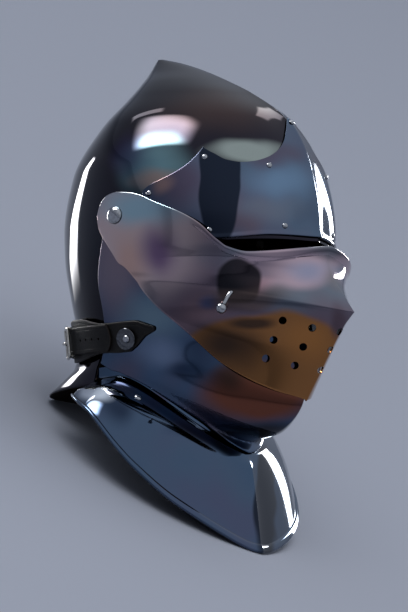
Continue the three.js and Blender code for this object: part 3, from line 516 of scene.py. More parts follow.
def domedRivetTree():
    # a rivet on each point: a domed head, its shank, and the burr that closes it inside
    floatKind = "NodeSocketFloat"
    tree, given = newTree("domedRivets", [
        ("Head Radius", floatKind), ("Head Height", floatKind), ("Shank Radius", floatKind),
        ("Grip", floatKind), ("Material", "NodeSocketMaterial")])
    ball = addNode(tree, "GeometryNodeMeshUVSphere", inputs={
        "Segments": 24, "Rings": 14, "Radius": 1.0})
    height = addNode(tree, "ShaderNodeSeparateXYZ", inputs={
        0: addNode(tree, "GeometryNodeInputPosition").outputs[0]})
    under = addNode(tree, "FunctionNodeCompare", {"data_type": "FLOAT", "operation": "LESS_THAN"}, {
        0: height.outputs["Z"], 1: -0.001})
    dome = addNode(tree, "GeometryNodeDeleteGeometry", {"domain": "POINT"}, {
        "Geometry": ball.outputs["Mesh"], "Selection": under.outputs["Result"]})
    disc = addNode(tree, "GeometryNodeMeshCircle", {"fill_type": "NGON"}, {
        "Vertices": 24, "Radius": 1.0})
    flipped = addNode(tree, "GeometryNodeFlipFaces", inputs={"Mesh": disc.outputs["Mesh"]})
    head = addNode(tree, "GeometryNodeJoinGeometry")
    tree.links.new(dome.outputs[0], head.inputs[0])
    tree.links.new(flipped.outputs[0], head.inputs[0])
    closed = addNode(tree, "GeometryNodeMergeByDistance", inputs={
        "Geometry": head.outputs[0], "Distance": 0.001})
    size = addNode(tree, "ShaderNodeCombineXYZ", inputs={
        "X": given["Head Radius"], "Y": given["Head Radius"], "Z": given["Head Height"]})
    headPart = addNode(tree, "GeometryNodeTransform", inputs={
        "Geometry": closed.outputs[0], "Scale": size.outputs[0]})
    shank = addNode(tree, "GeometryNodeMeshCylinder", inputs={
        "Vertices": 16, "Radius": given["Shank Radius"], "Depth": given["Grip"]})
    sink = addNode(tree, "ShaderNodeMath", {"operation": "MULTIPLY"}, {0: given["Grip"], 1: -0.5})
    down = addNode(tree, "ShaderNodeCombineXYZ", inputs={"Z": sink.outputs[0]})
    shankPart = addNode(tree, "GeometryNodeTransform", inputs={
        "Geometry": shank.outputs["Mesh"], "Translation": down.outputs[0]})
    wide = addNode(tree, "ShaderNodeMath", {"operation": "MULTIPLY"}, {0: given["Shank Radius"], 1: 1.4})
    thin = addNode(tree, "ShaderNodeMath", {"operation": "MULTIPLY"}, {0: given["Shank Radius"], 1: 0.6})
    burr = addNode(tree, "GeometryNodeMeshCylinder", inputs={
        "Vertices": 16, "Radius": wide.outputs[0], "Depth": thin.outputs[0]})
    deep = addNode(tree, "ShaderNodeMath", {"operation": "MULTIPLY"}, {0: given["Grip"], 1: -1.0})
    end = addNode(tree, "ShaderNodeCombineXYZ", inputs={"Z": deep.outputs[0]})
    burrPart = addNode(tree, "GeometryNodeTransform", inputs={
        "Geometry": burr.outputs["Mesh"], "Translation": end.outputs[0]})
    rivet = addNode(tree, "GeometryNodeJoinGeometry")
    for part in (headPart, shankPart, burrPart):
        tree.links.new(part.outputs[0], rivet.inputs[0])
    closeTree(tree, standingOn(tree, given["Geometry"], rivet.outputs[0]), given["Material"])
    return tree


def piercingTree():
    # a round hole through the piece at each point of the drill places
    tree, given = newTree("piercedHoles", [
        ("Drill Places", "NodeSocketObject"), ("Hole Radius", "NodeSocketFloat"),
        ("Drill Length", "NodeSocketFloat"), ("Material", "NodeSocketMaterial")])
    places = addNode(tree, "GeometryNodeObjectInfo", {"transform_space": "ORIGINAL"}, {
        "Object": given["Drill Places"]})
    drill = addNode(tree, "GeometryNodeMeshCylinder", inputs={
        "Vertices": 32, "Radius": given["Hole Radius"], "Depth": given["Drill Length"]})
    drills = addNode(tree, "GeometryNodeRealizeInstances", inputs={
        "Geometry": standingOn(tree, places.outputs["Geometry"], drill.outputs["Mesh"])})
    cut = addNode(tree, "GeometryNodeMeshBoolean", {"operation": "DIFFERENCE", "solver": "MANIFOLD"}, {
        "Mesh 1": given["Geometry"]})
    tree.links.new(drills.outputs[0], cut.inputs["Mesh 2"])
    closeTree(tree, cut.outputs["Mesh"], given["Material"])
    return tree


def pointsOf(name, places):
    # loose points that carry the way that each faces
    mesh = bpy.data.meshes.new(name)
    mesh.from_pydata([tuple(v) for v in laid([place for place, _ in places])], [], [])
    facing = turned([facing for _, facing in places]).astype(np.float32)
    mesh.attributes.new("facing", "FLOAT_VECTOR", "POINT").data.foreach_set("vector", facing.ravel())
    points = bpy.data.objects.new(name, mesh)
    bpy.context.scene.collection.objects.link(points)
    return points


def grownByNodes(piece, tree, values):
    # runs the tree on the piece with its named inputs
    modifier = piece.modifiers.new(tree.name, "NODES")
    modifier.node_group = tree
    for item in tree.interface.items_tree:
        if item.in_out == "INPUT" and item.name in values:
            modifier[item.identifier] = values[item.name]
    keepShape(piece, modifier)
    return piece


def finishPiece(piece, body, material, nodes):
    piece.data.materials.clear()
    piece.data.materials.append(material)
    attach(piece, body)
    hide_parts(*nodes)


def onBothSides(sheet, x, z, lift=0.0):
    turn, level = sheet.placeAt(x, z)
    return [(sheet.point(side * turn, level, lift), sheet.normal(side * turn, level)) for side in (-1, 1)]


def makeCamera():
    data = bpy.data.cameras.new("photographView")
    data.lens = 36 * camera["distance"] / camera["fieldHeight"]
    data.clip_end = 100
    viewer = bpy.data.objects.new("photographView", data)
    bpy.context.scene.collection.objects.link(viewer)
    place = Vector(camera["target"]) + Vector(camera["back"]).normalized() * camera["distance"]
    viewer.matrix_world = Matrix.Translation(place) @ cameraTurn().to_4x4()
    bpy.context.scene.camera = viewer


makeCamera()
print("camera set")

# Materials
steels = {
    "skull": {
        "film": [(0.3, "#15151d"), (0.45, "#1b1925"), (0.6, "#24202b"), (0.75, "#251f22")],
        "driftSize": 0.12, "roughness": 0.05, "innerColour": "#4c3a2a", "bothSides": True,
        "temperAndReflectionPatches": [
            (31, -89, 39, 44, 34, 0.9, "#86aeb5", 0.8), (34, -91, 26, 30, 12, 0.9, "#bd9482", 0.65),
            (10, -93, 52, 26, 26, 0.9, "#4a4474", 0.5), (98, -48, 50, 44, 14, 0.6, "#aab5ae", 0.75),
            (60, -41, 90, 70, 34, 0.9, "#4a3733", 0.7), (-35, -92, 0, 30, 90, 0.9, "#161c28", 0.8),
        ],
    },
    "brow": {
        "film": [(0.3, "#445165"), (0.45, "#516277"), (0.6, "#5a5e72"), (0.75, "#685560")],
        "driftSize": 0.07, "roughness": 0.05, "innerColour": "#1b1b1e", "bothSides": True,
        "temperAndReflectionPatches": [
            (56, -88, 22, 34, 30, 0.8, "#584c60", 0.85), (42, -91, 22, 14, 10, 0.9, "#a08078", 0.7),
            (116, -32, 24, 40, 26, 0.9, "#6f8ca8", 0.75), (112, -40, 0, 40, 14, 0.9, "#6d7684", 0.6),
            # the narrow near-black band at 88, -74, 24 is a painted dark reflection
            (106, -30, 50, 40, 16, 0.9, "#5a4c5c", 0.7), (88, -74, 24, 18, 64, 0.12, "#0e1a2c", 0.98),
        ],
    },
    "visor": {
        "film": [(0.3, "#5c4f60"), (0.45, "#6f606c"), (0.6, "#6d7480"), (0.75, "#85716c")],
        "driftSize": 0.09, "roughness": 0.055, "innerColour": "#151517", "bothSides": True,
        "temperAndReflectionPatches": [
            (20, -101, -20, 84, 66, 0.5, "#cbb4b2", 0.85), (28, -101, 4, 60, 24, 0.8, "#93b6c2", 0.9),
            (15, -100, -40, 24, 34, 0.9, "#c49c8e", 0.75), (46, -100, -34, 24, 30, 0.9, "#6a4f74", 0.9),
            (76, -84, -84, 34, 26, 0.9, "#8c7076", 0.8), (79, -77, -74, 14, 8, 0.9, "#3e598d", 0.8),
            (130, -44, -50, 58, 22, 0.45, "#c0a6b0", 0.9), (142, -28, -52, 26, 12, 0.9, "#7d90ae", 0.6),
            (117, -60, -64, 22, 9, 0.9, "#bd9096", 0.7), (100, -66, -58, 23, 19, 0.2, "#0e0e14", 0.93),
            (108, -68, -74, 46, 12, 0.6, "#6a5852", 0.7), (112, -40, -138, 84, 58, 0.12, "#9c6838", 0.97),
            (134, -19, -108, 30, 26, 0.9, "#b0743c", 0.8), (84, -62, -114, 44, 34, 0.9, "#3c2c24", 0.92),
            (104, -53, -92, 26, 8, 0.7, "#2e2420", 0.85), (156, -6, -91, 9, 22, 0.8, "#594750", 0.8),
        ],
    },
    "bevor": {
        "film": [(0.3, "#374561"), (0.45, "#405570"), (0.6, "#504d61"), (0.75, "#5d5161")],
        "driftSize": 0.09, "roughness": 0.05, "innerColour": "#151517", "bothSides": True,
        "temperAndReflectionPatches": [
            (-8, -92, -40, 34, 60, 0.9, "#7d6e78", 0.8), (24, -86, -82, 46, 30, 0.9, "#6c8492", 0.8),
            (26, -76, -112, 32, 20, 0.9, "#6c7d98", 0.85), (40, -62, -128, 22, 12, 0.9, "#182c46", 0.9),
            (96, -30, -146, 66, 30, 0.5, "#703c26", 0.95), (74, -46, -134, 22, 16, 0.9, "#3e2a22", 0.85),
            (84, -20, -176, 66, 14, 0.8, "#1a1418", 0.9),
        ],
    },
    "neck": {
        "film": [(0.3, "#324661"), (0.45, "#3a516a"), (0.6, "#42546b"), (0.75, "#474f68")],
        "driftSize": 0.1, "roughness": 0.05, "innerColour": "#2a2a2e", "bothSides": False,
        "temperAndReflectionPatches": [
            (0, -98, -158, 20, 26, 0.9, "#15263e", 0.9), (22, -78, -152, 18, 12, 0.9, "#4e4058", 0.6),
            # the narrow near-black band at 64, 17, -225 is partly temper colour and partly a painted dark
            # reflection
            (46, -50, -176, 34, 8, 0.9, "#1e3550", 0.7), (64, 17, -225, 12, 66, 0.25, "#0c1626", 0.95),
            # the pale patch at -24, -94, -140 is a painted highlight
            (-24, -94, -140, 20, 17, 0.5, "#e4ecf6", 0.85),
        ],
    },
}
skullSteel = bluedSteel("blued mirror-polished steel, skull", steels["skull"])
browSteel = bluedSteel("blued mirror-polished steel, brow", steels["brow"])
visorSteel = bluedSteel("bronze-tempered polished steel, visor", steels["visor"])
bevorSteel = bluedSteel("blued mirror-polished steel, bevor", steels["bevor"])
neckSteel = bluedSteel("blued mirror-polished steel, neck plate", steels["neck"])
rivetSteel = buffedSteel("buffed bare steel", {
    "light": "#b4b6ba", "dark": "#8e9094", "roughness": 0.09, "grain": 0.0015})
# the washers' darker base is a painted dark reflection of dark surroundings
washerSteel = buffedSteel("buffed bare steel, washers", {
    "light": "#6c6e73", "dark": "#4a4c50", "roughness": 0.07, "grain": 0.0015})
buckleNickel = buffedSteel("nickel-plated steel", {
    "light": "#d6d2ca", "dark": "#aaa59b", "roughness": 0.13, "grain": 0.001})
strapLeather = blackLeather("black vegetable-tanned leather", {
    "light": "#100e0d", "dark": "#070606", "edge": "#1c1815", "pore": 0.0007, "line": 2.3,
    "lineWidth": 0.6})
print("materials made")

# Skull
skull = {
    "rows": [
        [100, -131, -131, -20, -121.5, 73.5, 2, 2, 3.6, 0],
        [100, -122, -122, -20, -110.5, 72.5, 2, 2, 3, 0],
        [104, -112, -112, -18, -101, 72, 2, 2, 2.4, 0],
        [112, -90, -90, -15, -97, 77, 2, 2, 2, 0],
        [119, -60, -60, -8, -102.5, 86, 2, 2, 2, 2],
        [126.5, -20, -20, 5, -110, 94, 2, 2, 2, 5],
        [125.5, 0, 0, 10, -111, 95.5, 2, 2, 2, 5],
        [115.6, 45, 45, 7, -102, 90.5, 2, 2, 2, 5],
        [93.5, 83, 83, 2, -75, 74, 2, 2, 2, 5],
        [60.5, 107, 107, 0, -52, 53, 2, 2, 2, 4.6],
        [36, 120, 120, -5, -43, 38, 2, 2, 2, 4],
        [11, 132, 132, -15, -39, 20, 2, 2, 2, 2.4],
        [-10.5, 140.5, 140.5, -25, -36, 8.5, 2, 2, 2, 0.8],
        [-28, 145.4, 145.4, -31, -34, 2.2, 2, 2, 2, 0],
    ],
    "peak": (-31.5, 146), "peakThickness": 2.1, "thickness": 1.6, "columns": 300, "levels": 170,
    "cutHalfWidth": 130,
    "faceOpening": [
        (160, -20), (125, -22), (90, -24.5), (75, -23), (60, -16.5), (44, -8), (30, -8), (22, -18), (15, -45),
        (12, -70), (2, -92), (-38, -106), (-43, -118), (-46, -140), (160, -140),
    ],
}
skullSheet = PlateSheet(skull["rows"])


def makeSkull():
    turns = math.pi * np.linspace(-1, 1, skull["columns"], endpoint=False)
    levels = np.linspace(0, 1, skull["levels"])
    turn, level = np.meshgrid(turns, levels, indexing="ij")
    outer = skullSheet.point(turn, level, np.zeros(turn.shape))
    inner = skullSheet.point(turn, level, np.full(turn.shape, -skull["thickness"]))
    x, z = skull["peak"]
    piece = shellPiece("skullShell", outer, inner, ring=True,
                       crown=[(x, 0, z), (x, 0, z - skull["peakThickness"])])
    # the face and neck are cut out by a block of that outline, wider than the skull
    halfWidth = skull["cutHalfWidth"]
    outline = [(x, side * halfWidth, z) for side in (-1, 1) for x, z in skull["faceOpening"]]
    count = len(skull["faceOpening"])
    sides = [(k, (k + 1) % count, (k + 1) % count + count, k + count) for k in range(count)]
    ends = [tuple(range(count))[::-1], tuple(range(count, 2 * count))]
    cutter = meshPiece("faceCutter", laid(outline), ends + sides)
    bm = bmesh.new()
    bm.from_mesh(cutter.data)
    bmesh.ops.recalc_face_normals(bm, faces=bm.faces)
    bm.to_mesh(cutter.data)
    bm.free()
    cut = piece.modifiers.new("faceOpening", "BOOLEAN")
    cut.operation, cut.object, cut.solver = "DIFFERENCE", cutter, "MANIFOLD"
    keepShape(piece, cut)
    bpy.data.objects.remove(cutter)
    finishPiece(piece, "helmet", skullSteel, ["skull"])


makeSkull()
print("skull made")

# Brow plate and its rivets
brow = {
    "top": [
        (99.2, 82.2), (103.9, 71.6), (108.3, 58.9), (108.9, 49.9), (106.4, 44), (101.1, 40.3), (95, 39.2),
        (86, 41.1), (78.1, 46), (69.6, 51.6), (69.1, 52.4), (68.7, 51.4), (66.4, 46.5), (60, 38.2),
        (51.1, 31.5), (40.9, 26.6), (30.7, 22.3), (24.9, 18.5),
    ],
    "lower": [(131.2, -18), (114.1, -19), (98.1, -21.3), (81.9, -22.9), (65, -17), (45, -4), (24.9, 13.5)],
    "seat": 0.85, "thickness": 1.4, "bead": 0.9, "beadWidth": 0.04,
    "rivets": [(71.6, 43.8), (108.7, 37.8), (30.5, 15.6), (78.3, -16.7), (120, -12)], "topRivet": 78,
    "names": ["cusp", "upper", "rear", "lower", "front"],
    "headRadius": 2.4, "headHeight": 1.5, "shankRadius": 1.2, "grip": 5.95, "rivetLift": 0.15,
}
rivetTree = domedRivetTree()


def riveted(name, places, sizes):
    return grownByNodes(pointsOf(name, places), rivetTree, {
        "Head Radius": sizes["headRadius"] / 1000, "Head Height": sizes["headHeight"] / 1000,
        "Shank Radius": sizes["shankRadius"] / 1000, "Grip": sizes["grip"] / 1000,
        "Material": rivetSteel})


def browBead(part, turn):
    # the turned lower edge over the sight slit
    return brow["bead"] * (1 - np.clip(part / brow["beadWidth"], 0, 1) ** 2)


def makeBrow():
    outer, inner = plateGrids(
        skullSheet, brow["top"], brow["lower"], 170, 80, brow["seat"], brow["thickness"],
        bead=browBead)
    finishPiece(shellPiece("browPlate", outer, inner), "helmet", browSteel,
                ["brow_plate"])
    lift = brow["seat"] + brow["thickness"] + brow["rivetLift"]
    places = [place for x, z in brow["rivets"] for place in onBothSides(skullSheet, x, z, lift)]
    level = skullSheet.levelAt(0.0, brow["topRivet"])
    places.append((skullSheet.point(0.0, level, lift), skullSheet.normal(0.0, level)))
    nodes = [f"brow_rivet_{name}_{side}" for name in brow["names"] for side in ("right", "left")]
    finishPiece(riveted("browRivets", places, brow), "helmet", rivetSteel,
                nodes + ["brow_rivet_top"])


makeBrow()
print("brow plate made")

# Visor, its breaths, the lifting peg and the pivots
visor = {
    "rows": [
        [124.7, -152, -140, 10, -120, 102, 1.4, 1, 2, -5],
        [146.6, -118, -98, 10, -120, 102, 1.52, 1, 2, -5],
        [161.5, -94.8, -72, 10, -120, 102, 1.68, 1, 2, -4],
        [167.6, -85.6, -60, 10, -120, 102, 1.74, 1, 2, -1],
        [168.6, -83.6, -57, 10, -120, 102, 1.75, 1, 2, 0],
        [167.4, -82, -55, 10, -120, 102, 1.76, 1.02, 2, 0],
        [153.8, -63.6, -47, 10, -120, 101.4, 1.95, 1.25, 2, 0],
        [144.6, -50.4, -42, 10, -120, 101.2, 2.1, 1.6, 2, 0],
        [141.5, -39, -39.5, 10, -120, 101.2, 2.2, 1.9, 2, 0],
        [144.6, -28, -30, 10, -120, 101.2, 2.2, 2, 2, 0],
        [148, -5, 0, 10, -120, 101.2, 2.2, 2, 2, 0],
        [148, 15, 22, 10, -120, 101.2, 2.2, 2, 2, 0],
    ],
    "top": [
        (144.6, -28.2), (138.5, -32.4), (122, -36.6), (111, -37.6), (98, -33.6), (91, -27), (78, -13),
        (65, -4.3), (39, 7.5), (24, 14.5), (13, 17.2), (0, 18.6), (-9, 17), (-15, 12.5), (-19, 6.5), (-20.3, 3),
    ],
    "lower": [
        (119.7, -152), (110, -146.5), (100, -141), (81, -126), (60, -100), (27, -63), (1, -36), (-9, -22.5),
        (-16, -13), (-19.4, -7), (-20.3, -3),
    ],
    "thickness": 1.6, "roll": 1.5, "rollWidth": 0.045, "rollEnd": 1.15, "rollFade": 0.25,
    "breathDiameter": 6.5,
    "breaths": [(0, (-98.8, -113, -128.5)), (19, (-96.3, -111, -125.5)), (37, (-90.8, -105.9, -120.5))],
}
peg = {
    "x": 94.7, "z": -68.4, "reach": (-2.8, -9.7, -14.1), "radii": (1.9, 2.2, 1.9, 1.5), "ball": 4.6,
    "root": 4, "neck": 3.4,
}
pivot = {
    "halfWidth": 101.2, "headRadius": 7.2, "headHeight": 3.4, "seat": 0.3, "shankRadius": 3.0, "grip": 9.5,
    "burrRadius": 4.2, "burrHeight": 1.8, "clearance": 0.4,
}
visorSheet = PlateSheet(visor["rows"])
holeTree = piercingTree()


def pierced(piece, places, radius, material, length=0.02):
    drills = pointsOf(piece.name + "Drills", places)
    grownByNodes(piece, holeTree, {
        "Drill Places": drills, "Hole Radius": radius / 1000, "Drill Length": length, "Material": material})
    bpy.data.objects.remove(drills)


def visorRoll(part, turn):
    # the rolled upper edge at the sight slit, which runs out towards the arms
    roll = np.sqrt(1 - np.clip((1 - part) / visor["rollWidth"], 0, 1) ** 2)
    return visor["roll"] * roll * np.clip((visor["rollEnd"] - np.abs(turn)) / visor["rollFade"], 0, 1)


def makeVisor():
    outer, inner = plateGrids(
        visorSheet, visor["top"], visor["lower"], 170, 130, -visor["thickness"], visor["thickness"],
        bead=visorRoll)
    piece = shellPiece("visorPlate", outer, inner)
    places = []
    for y, heights in visor["breaths"]:
        for z in heights:
            turn, level = visorSheet.placeAcross(y, z)
            for side in ((0,) if y == 0 else (-1, 1)):
                at = side * turn
                places.append((visorSheet.point(at, level), visorSheet.normal(at, level)))
    pierced(piece, places, visor["breathDiameter"] / 2, visorSteel)
    pivots = [((0, side * pivot["halfWidth"], 0), (0, side, 0)) for side in (-1, 1)]
    pierced(piece, pivots, pivot["shankRadius"] + pivot["clearance"], visorSteel)
    finishPiece(piece, "visor", visorSteel, ["visor"])
    # the pivots' low domes, shanks and burrs in one profile
    seat, shankRadius, burrRadius = (pivot[key] for key in ("seat", "shankRadius", "burrRadius"))
    end = seat - pivot["grip"]
    dome = [(pivot["headRadius"] * math.cos(a), seat + pivot["headHeight"] * math.sin(a))
            for a in np.radians(np.linspace(0, 90, 12))[:-1]]
    shank = [(0, end), (burrRadius, end), (burrRadius, end + pivot["burrHeight"]),
             (shankRadius, end + pivot["burrHeight"]), (shankRadius, seat)]
    profile = shank + dome + [(0, seat + pivot["headHeight"])]
    piece = lathePiece("pivotRivets", profile, pivots, 48)
    finishPiece(piece, "helmet", rivetSteel, ["pivot_rivet_right", "pivot_rivet_left"])


def makePeg():
    place, facing = onBothSides(visorSheet, peg["x"], peg["z"])[0]
    end = place + np.array(peg["reach"])
    knots = np.array([place - facing * peg["root"], place, place + facing * peg["neck"], end])
    route, spans, steps = routeThrough(knots, 24)
    radii = smoothCurve(spans, peg["radii"])(steps)
    stem = sweptPiece("liftingPeg", route, radii, (1, 0.2, 0), sides=20)
    radius = peg["ball"]
    ball = [(radius * math.cos(a), radius * math.sin(a)) for a in np.radians(np.linspace(-90, 90, 25))]
    ball[0], ball[-1] = (0, -radius), (0, radius)
    takeIn(stem, lathePiece("pegBall", ball, [(tuple(end), peg["reach"])], 36))
    finishPiece(stem, "visor", rivetSteel, ["lifting_peg"])


makeVisor()
makePeg()
print("visor made")

# Bevor and neck plate
bevor = {
    "rows": [
        [60.4, -188.5, -129, -20, -106, 75.2, 2, 2, 2, 0],
        [57.6, -180.2, -126.5, -20, -106, 75, 2, 2, 2, 0],
        [63, -178.8, -125, -20, -105, 75, 2, 1.9, 2, 0],
        [84, -177, -122, -19, -103, 75, 2, 1.6, 2, 0],
        [106, -166, -114, -18, -101, 75.4, 2, 1.25, 2, 0],
        [116.4, -152, -104, -17, -100, 77.2, 2, 1.1, 2, 0],
        [121.5, -130, -84, -15, -100.2, 82, 2, 1, 2, 0],
        [125, -105, -50, -8, -106, 91.8, 2, 1, 2, 0],
        [126, -80, -20, 5, -112.2, 97.4, 2, 1, 2, 0],
        [126, -50, 2, 10, -113, 98.2, 2, 1, 2, 0],
        [126, -20, 30, 10, -110, 98.2, 2, 1, 2, 0],
    ],
    "top": [
        (125.4, -95), (105, -88), (80, -70), (60, -50), (42, -28), (30, -10), (20, 4), (10, 13), (0, 16),
        (-8, 15),
    ],
    "lower": [(60.4, -188.5), (56, -181.5), (43, -164.5), (21, -146), (-6, -129), (-36, -115)],
    "rear": [(-36, -115), (-29.5, -90), (-22, -55), (-17.5, -26), (-15.5, -8), (-14, 4), (-8, 15)],
    "thickness": 1.5, "armRoom": 0.7,
}
neck = {
    "rows": [
        [70.5, -272, -188, -20, -112, 127, 2.15, 1.6, 2, 2.5],
        [65.5, -235, -160, -20, -108, 116, 2.15, 1.65, 2, 3],
        [61, -203, -139, -20, -105, 97, 2.1, 1.7, 2, 2.5],
        [58.6, -191, -132, -20, -104, 80.5, 2, 1.9, 2, 0],
        [54.8, -184, -126, -20, -103, 72, 2, 2, 2, 0],
        [54, -163, -108, -20, -103, 71.6, 2, 2, 2, 0],
    ],
    "top": [(54.4, -175), (42, -157), (21, -140), (-6, -124), (-30, -118.5), (-42, -118.5)],
    "lower": [
        (70.3, -271.5), (62.7, -259.8), (55.1, -249.5), (46.6, -239), (24.6, -210.5), (12.1, -194),
        (-3.8, -173.5), (-22, -157), (-46, -144),
    ],
    "rear": [(-46, -144), (-45, -131), (-42, -118.5)],
    "thickness": 1.4, "bead": 1.8, "beadWidth": 0.055, "rivet": (9.4, -148.9),
    "headRadius": 3.3, "headHeight": 1.8, "shankRadius": 1.5, "grip": 3.5, "rivetLift": 0.15,
}
bevorSheet = PlateSheet(bevor["rows"])
neckSheet = PlateSheet(neck["rows"])


def armRoom(part, turn):
    # a shallow hollow below the pivots, where the ends of the visor's arms pass
    reach = np.clip((part - 0.45) / 0.2, 0, 1) * np.clip((np.abs(turn) - 1.25) / 0.2, 0, 1)
    return -bevor["armRoom"] * reach * reach * (3 - 2 * reach)


def makeBevor():
    outer, inner = plateGrids(
        bevorSheet, bevor["top"], bevor["lower"], 150, 120, -bevor["thickness"], bevor["thickness"],
        bevor["rear"], armRoom)
    finishPiece(shellPiece("bevorPlate", outer, inner), "helmet", bevorSteel, ["bevor"])


def neckBead(part, turn):
    # the rolled lower edge
    return neck["bead"] * np.sqrt(1 - np.clip(part / neck["beadWidth"], 0, 1) ** 2)


def makeNeckPlate():
    outer, inner = plateGrids(
        neckSheet, neck["top"], neck["lower"], 150, 120, -neck["thickness"], neck["thickness"],
        neck["rear"], neckBead)
    finishPiece(shellPiece("neckPlate", outer, inner), "helmet", neckSteel,
                ["neck_plate"])
    places = onBothSides(neckSheet, *neck["rivet"], neck["rivetLift"])
    finishPiece(riveted("neckRivets", places, neck), "helmet", rivetSteel,
                ["neck_rivet_right", "neck_rivet_left"])


makeBevor()
makeNeckPlate()
print("bevor and neck plate made")

# The chin strap, on the bevor's sheet carried on round the nape
strap = {
    "height": -96.5, "turn": 1.57, "rise": 5.5, "halfHeight": 10, "thickness": 2.0,
    "baseLift": 0.5, "baseThickness": 2.2,
    "base": [
        (1.3, 6.6, 4.6), (1.36, 9.4, 0.6), (1.41, 11.6, -6), (1.46, 11.6, -11), (1.54, 11.2, -11.4),
        (1.64, 10.6, -11), (1.76, 11, -11.2), (1.86, 12.6, -12.4), (1.98, 15, -14.6), (2.1, 16, -15.8),
        (2.24, 16.4, -16.2), (2.34, 16, -16),
    ],
    "tip": [(1.6, 2.5, -3.5), (1.615, 6.2, -7), (1.64, 10, -10)],
    "leftEnd": [(1.46, 10, -10), (1.41, 11, -7), (1.36, 9.4, 0.6), (1.3, 6.6, 4.6)],
    "lifts": [
        (1.5, 3), (2.03, 3), (2.11, 3.5), (2.19, 5.5), (2.245, 6.2), (2.3, 5.9), (2.37, 4.4), (2.44, 3.3),
        (2.55, 3), (2.66, 2.4), (2.84, 1), (3.14, 0.7),
    ],
    "firstHole": 1.745, "holePitch": 0.0975, "holes": (0, 1, 2, 3, 6, 7), "prongHole": 6,
    "holeRadius": 1.1, "prongHoleRadius": 1.5, "drillLength": 0.012,
    "rivetTurn": 1.475, "rivetDrop": -1.5,
}
buckle = {
    "frontTurn": 2.2, "rearTurn": 2.54, "halfHeight": 13, "bar": 2.5, "corner": 2.5, "frontLift": 9.5,
    "rearLift": 6.8, "middleTurn": 2.255, "middleLift": 4.3, "prongRadius": 0.9,
    "prong": [(2.28, 4.6), (2.305, 5.6), (2.34, 8.2), (2.4, 9.6), (2.54, 9.5), (2.61, 9.3)],
}
fastening = {
    "radius": 8.6, "thickness": 0.8, "dish": 1.5, "hole": 1.8, "washerGap": 0.3, "rivetGap": 0.15,
    "headRadius": 3.4, "headHeight": 2.2, "shankRadius": 1.4, "grip": 7.4,
}


def strapPoint(turn, offset, lift):
    # a place on the strap's way: offset up from its middle line, lift out from the bevor's sheet
    turn = np.asarray(turn, float)
    height = strap["height"] + strap["rise"] * (np.abs(turn) - strap["turn"]) + offset
    return bevorSheet.point(turn, bevorSheet.levelAt(turn, height), lift)


def strapShell(name, turns, upper, lower, lift, thickness):
    part = np.linspace(0, 1, 17)[None, :]
    offset = lower[:, None] + (upper - lower)[:, None] * part
    turn = np.broadcast_to(turns[:, None], offset.shape)
    under = strapPoint(turn, offset, np.broadcast_to(lift[:, None], offset.shape))
    over = strapPoint(turn, offset, np.broadcast_to(lift[:, None] + thickness, offset.shape))
    centre = ((over + under) / 2)[:, 8]
    run = np.concatenate([[0], np.cumsum(np.linalg.norm(np.diff(centre, axis=0), axis=-1))])
    across = (upper - lower)[:, None] * (part - 0.5)
    uv = np.stack(np.broadcast_arrays(run[:, None], across), -1) / 1000
    toSide = (upper - lower)[:, None] * (0.5 - np.abs(part - 0.5))
    toEnd = np.minimum(run, run[-1] - run)[:, None]
    edge = np.minimum(toSide, toEnd)
    return shellPiece(name, over, under, uv=uv, edge=edge), run[-1]


def columnsOf(table, count):
    # rows of turn, upper edge and lower edge, as so many even columns
    table = np.array(table, float)
    turns = np.linspace(table[0, 0], table[-1, 0], count)
    return turns, np.interp(turns, table[:, 0], table[:, 1]), np.interp(turns, table[:, 0], table[:, 2])


def makeStrap():
    turns, upper, lower = columnsOf(strap["base"], 90)
    lift = np.full(turns.shape, strap["baseLift"])
    base, _ = strapShell(
        "strapBase", -turns[::-1], upper[::-1], lower[::-1], lift, strap["baseThickness"])
    finishPiece(base, "helmet", strapLeather, ["strap_base"])

    half = strap["halfHeight"]
    tipTurns, tipUpper, tipLower = columnsOf(strap["tip"], 14)
    endTurns, endUpper, endLower = columnsOf(strap["leftEnd"][::-1], 30)
    rightTurns = np.linspace(tipTurns[-1], math.pi, 200)[1:]
    leftTurns = np.linspace(math.pi, endTurns[-1], 150)[1:-1]
    turns = np.concatenate([-tipTurns, -rightTurns, leftTurns, endTurns[::-1]])[::-1]
    plain = np.full(len(rightTurns) + len(leftTurns), float(half))
    upper = np.concatenate([tipUpper, plain, endUpper[::-1]])[::-1]
    lower = np.concatenate([tipLower, -plain, endLower[::-1]])[::-1]
    lifts = np.array(strap["lifts"], float)
    right = smoothCurve(lifts[:, 0], lifts[:, 1])(-turns)
    settled = np.clip((3.1 - turns) / 0.6, 0, 1)
    lift = np.where(turns > 0, 0.7 + (strap["baseLift"] - 0.7) * settled, right)
    piece, length = strapShell("neckStrap", turns, upper, lower, lift, strap["thickness"])
    places = []
    for step in strap["holes"]:
        turn = -(strap["firstHole"] + step * strap["holePitch"])
        level = bevorSheet.levelAt(turn, strap["height"] + strap["rise"] * (abs(turn) - strap["turn"]))
        place = bevorSheet.point(turn, level, float(smoothCurve(lifts[:, 0], lifts[:, 1])(-turn)))
        places.append((place, bevorSheet.normal(turn, level)))
    at = strap["holes"].index(strap["prongHole"])
    others = places[:at] + places[at + 1:]
    pierced(piece, others, strap["holeRadius"], strapLeather, strap["drillLength"])
    pierced(piece, [places[at]], strap["prongHoleRadius"], strapLeather, strap["drillLength"])
    finishPiece(piece, "helmet", strapLeather, ["neck_strap"])
    print(f"strap made, {length:.0f} mm along its middle")


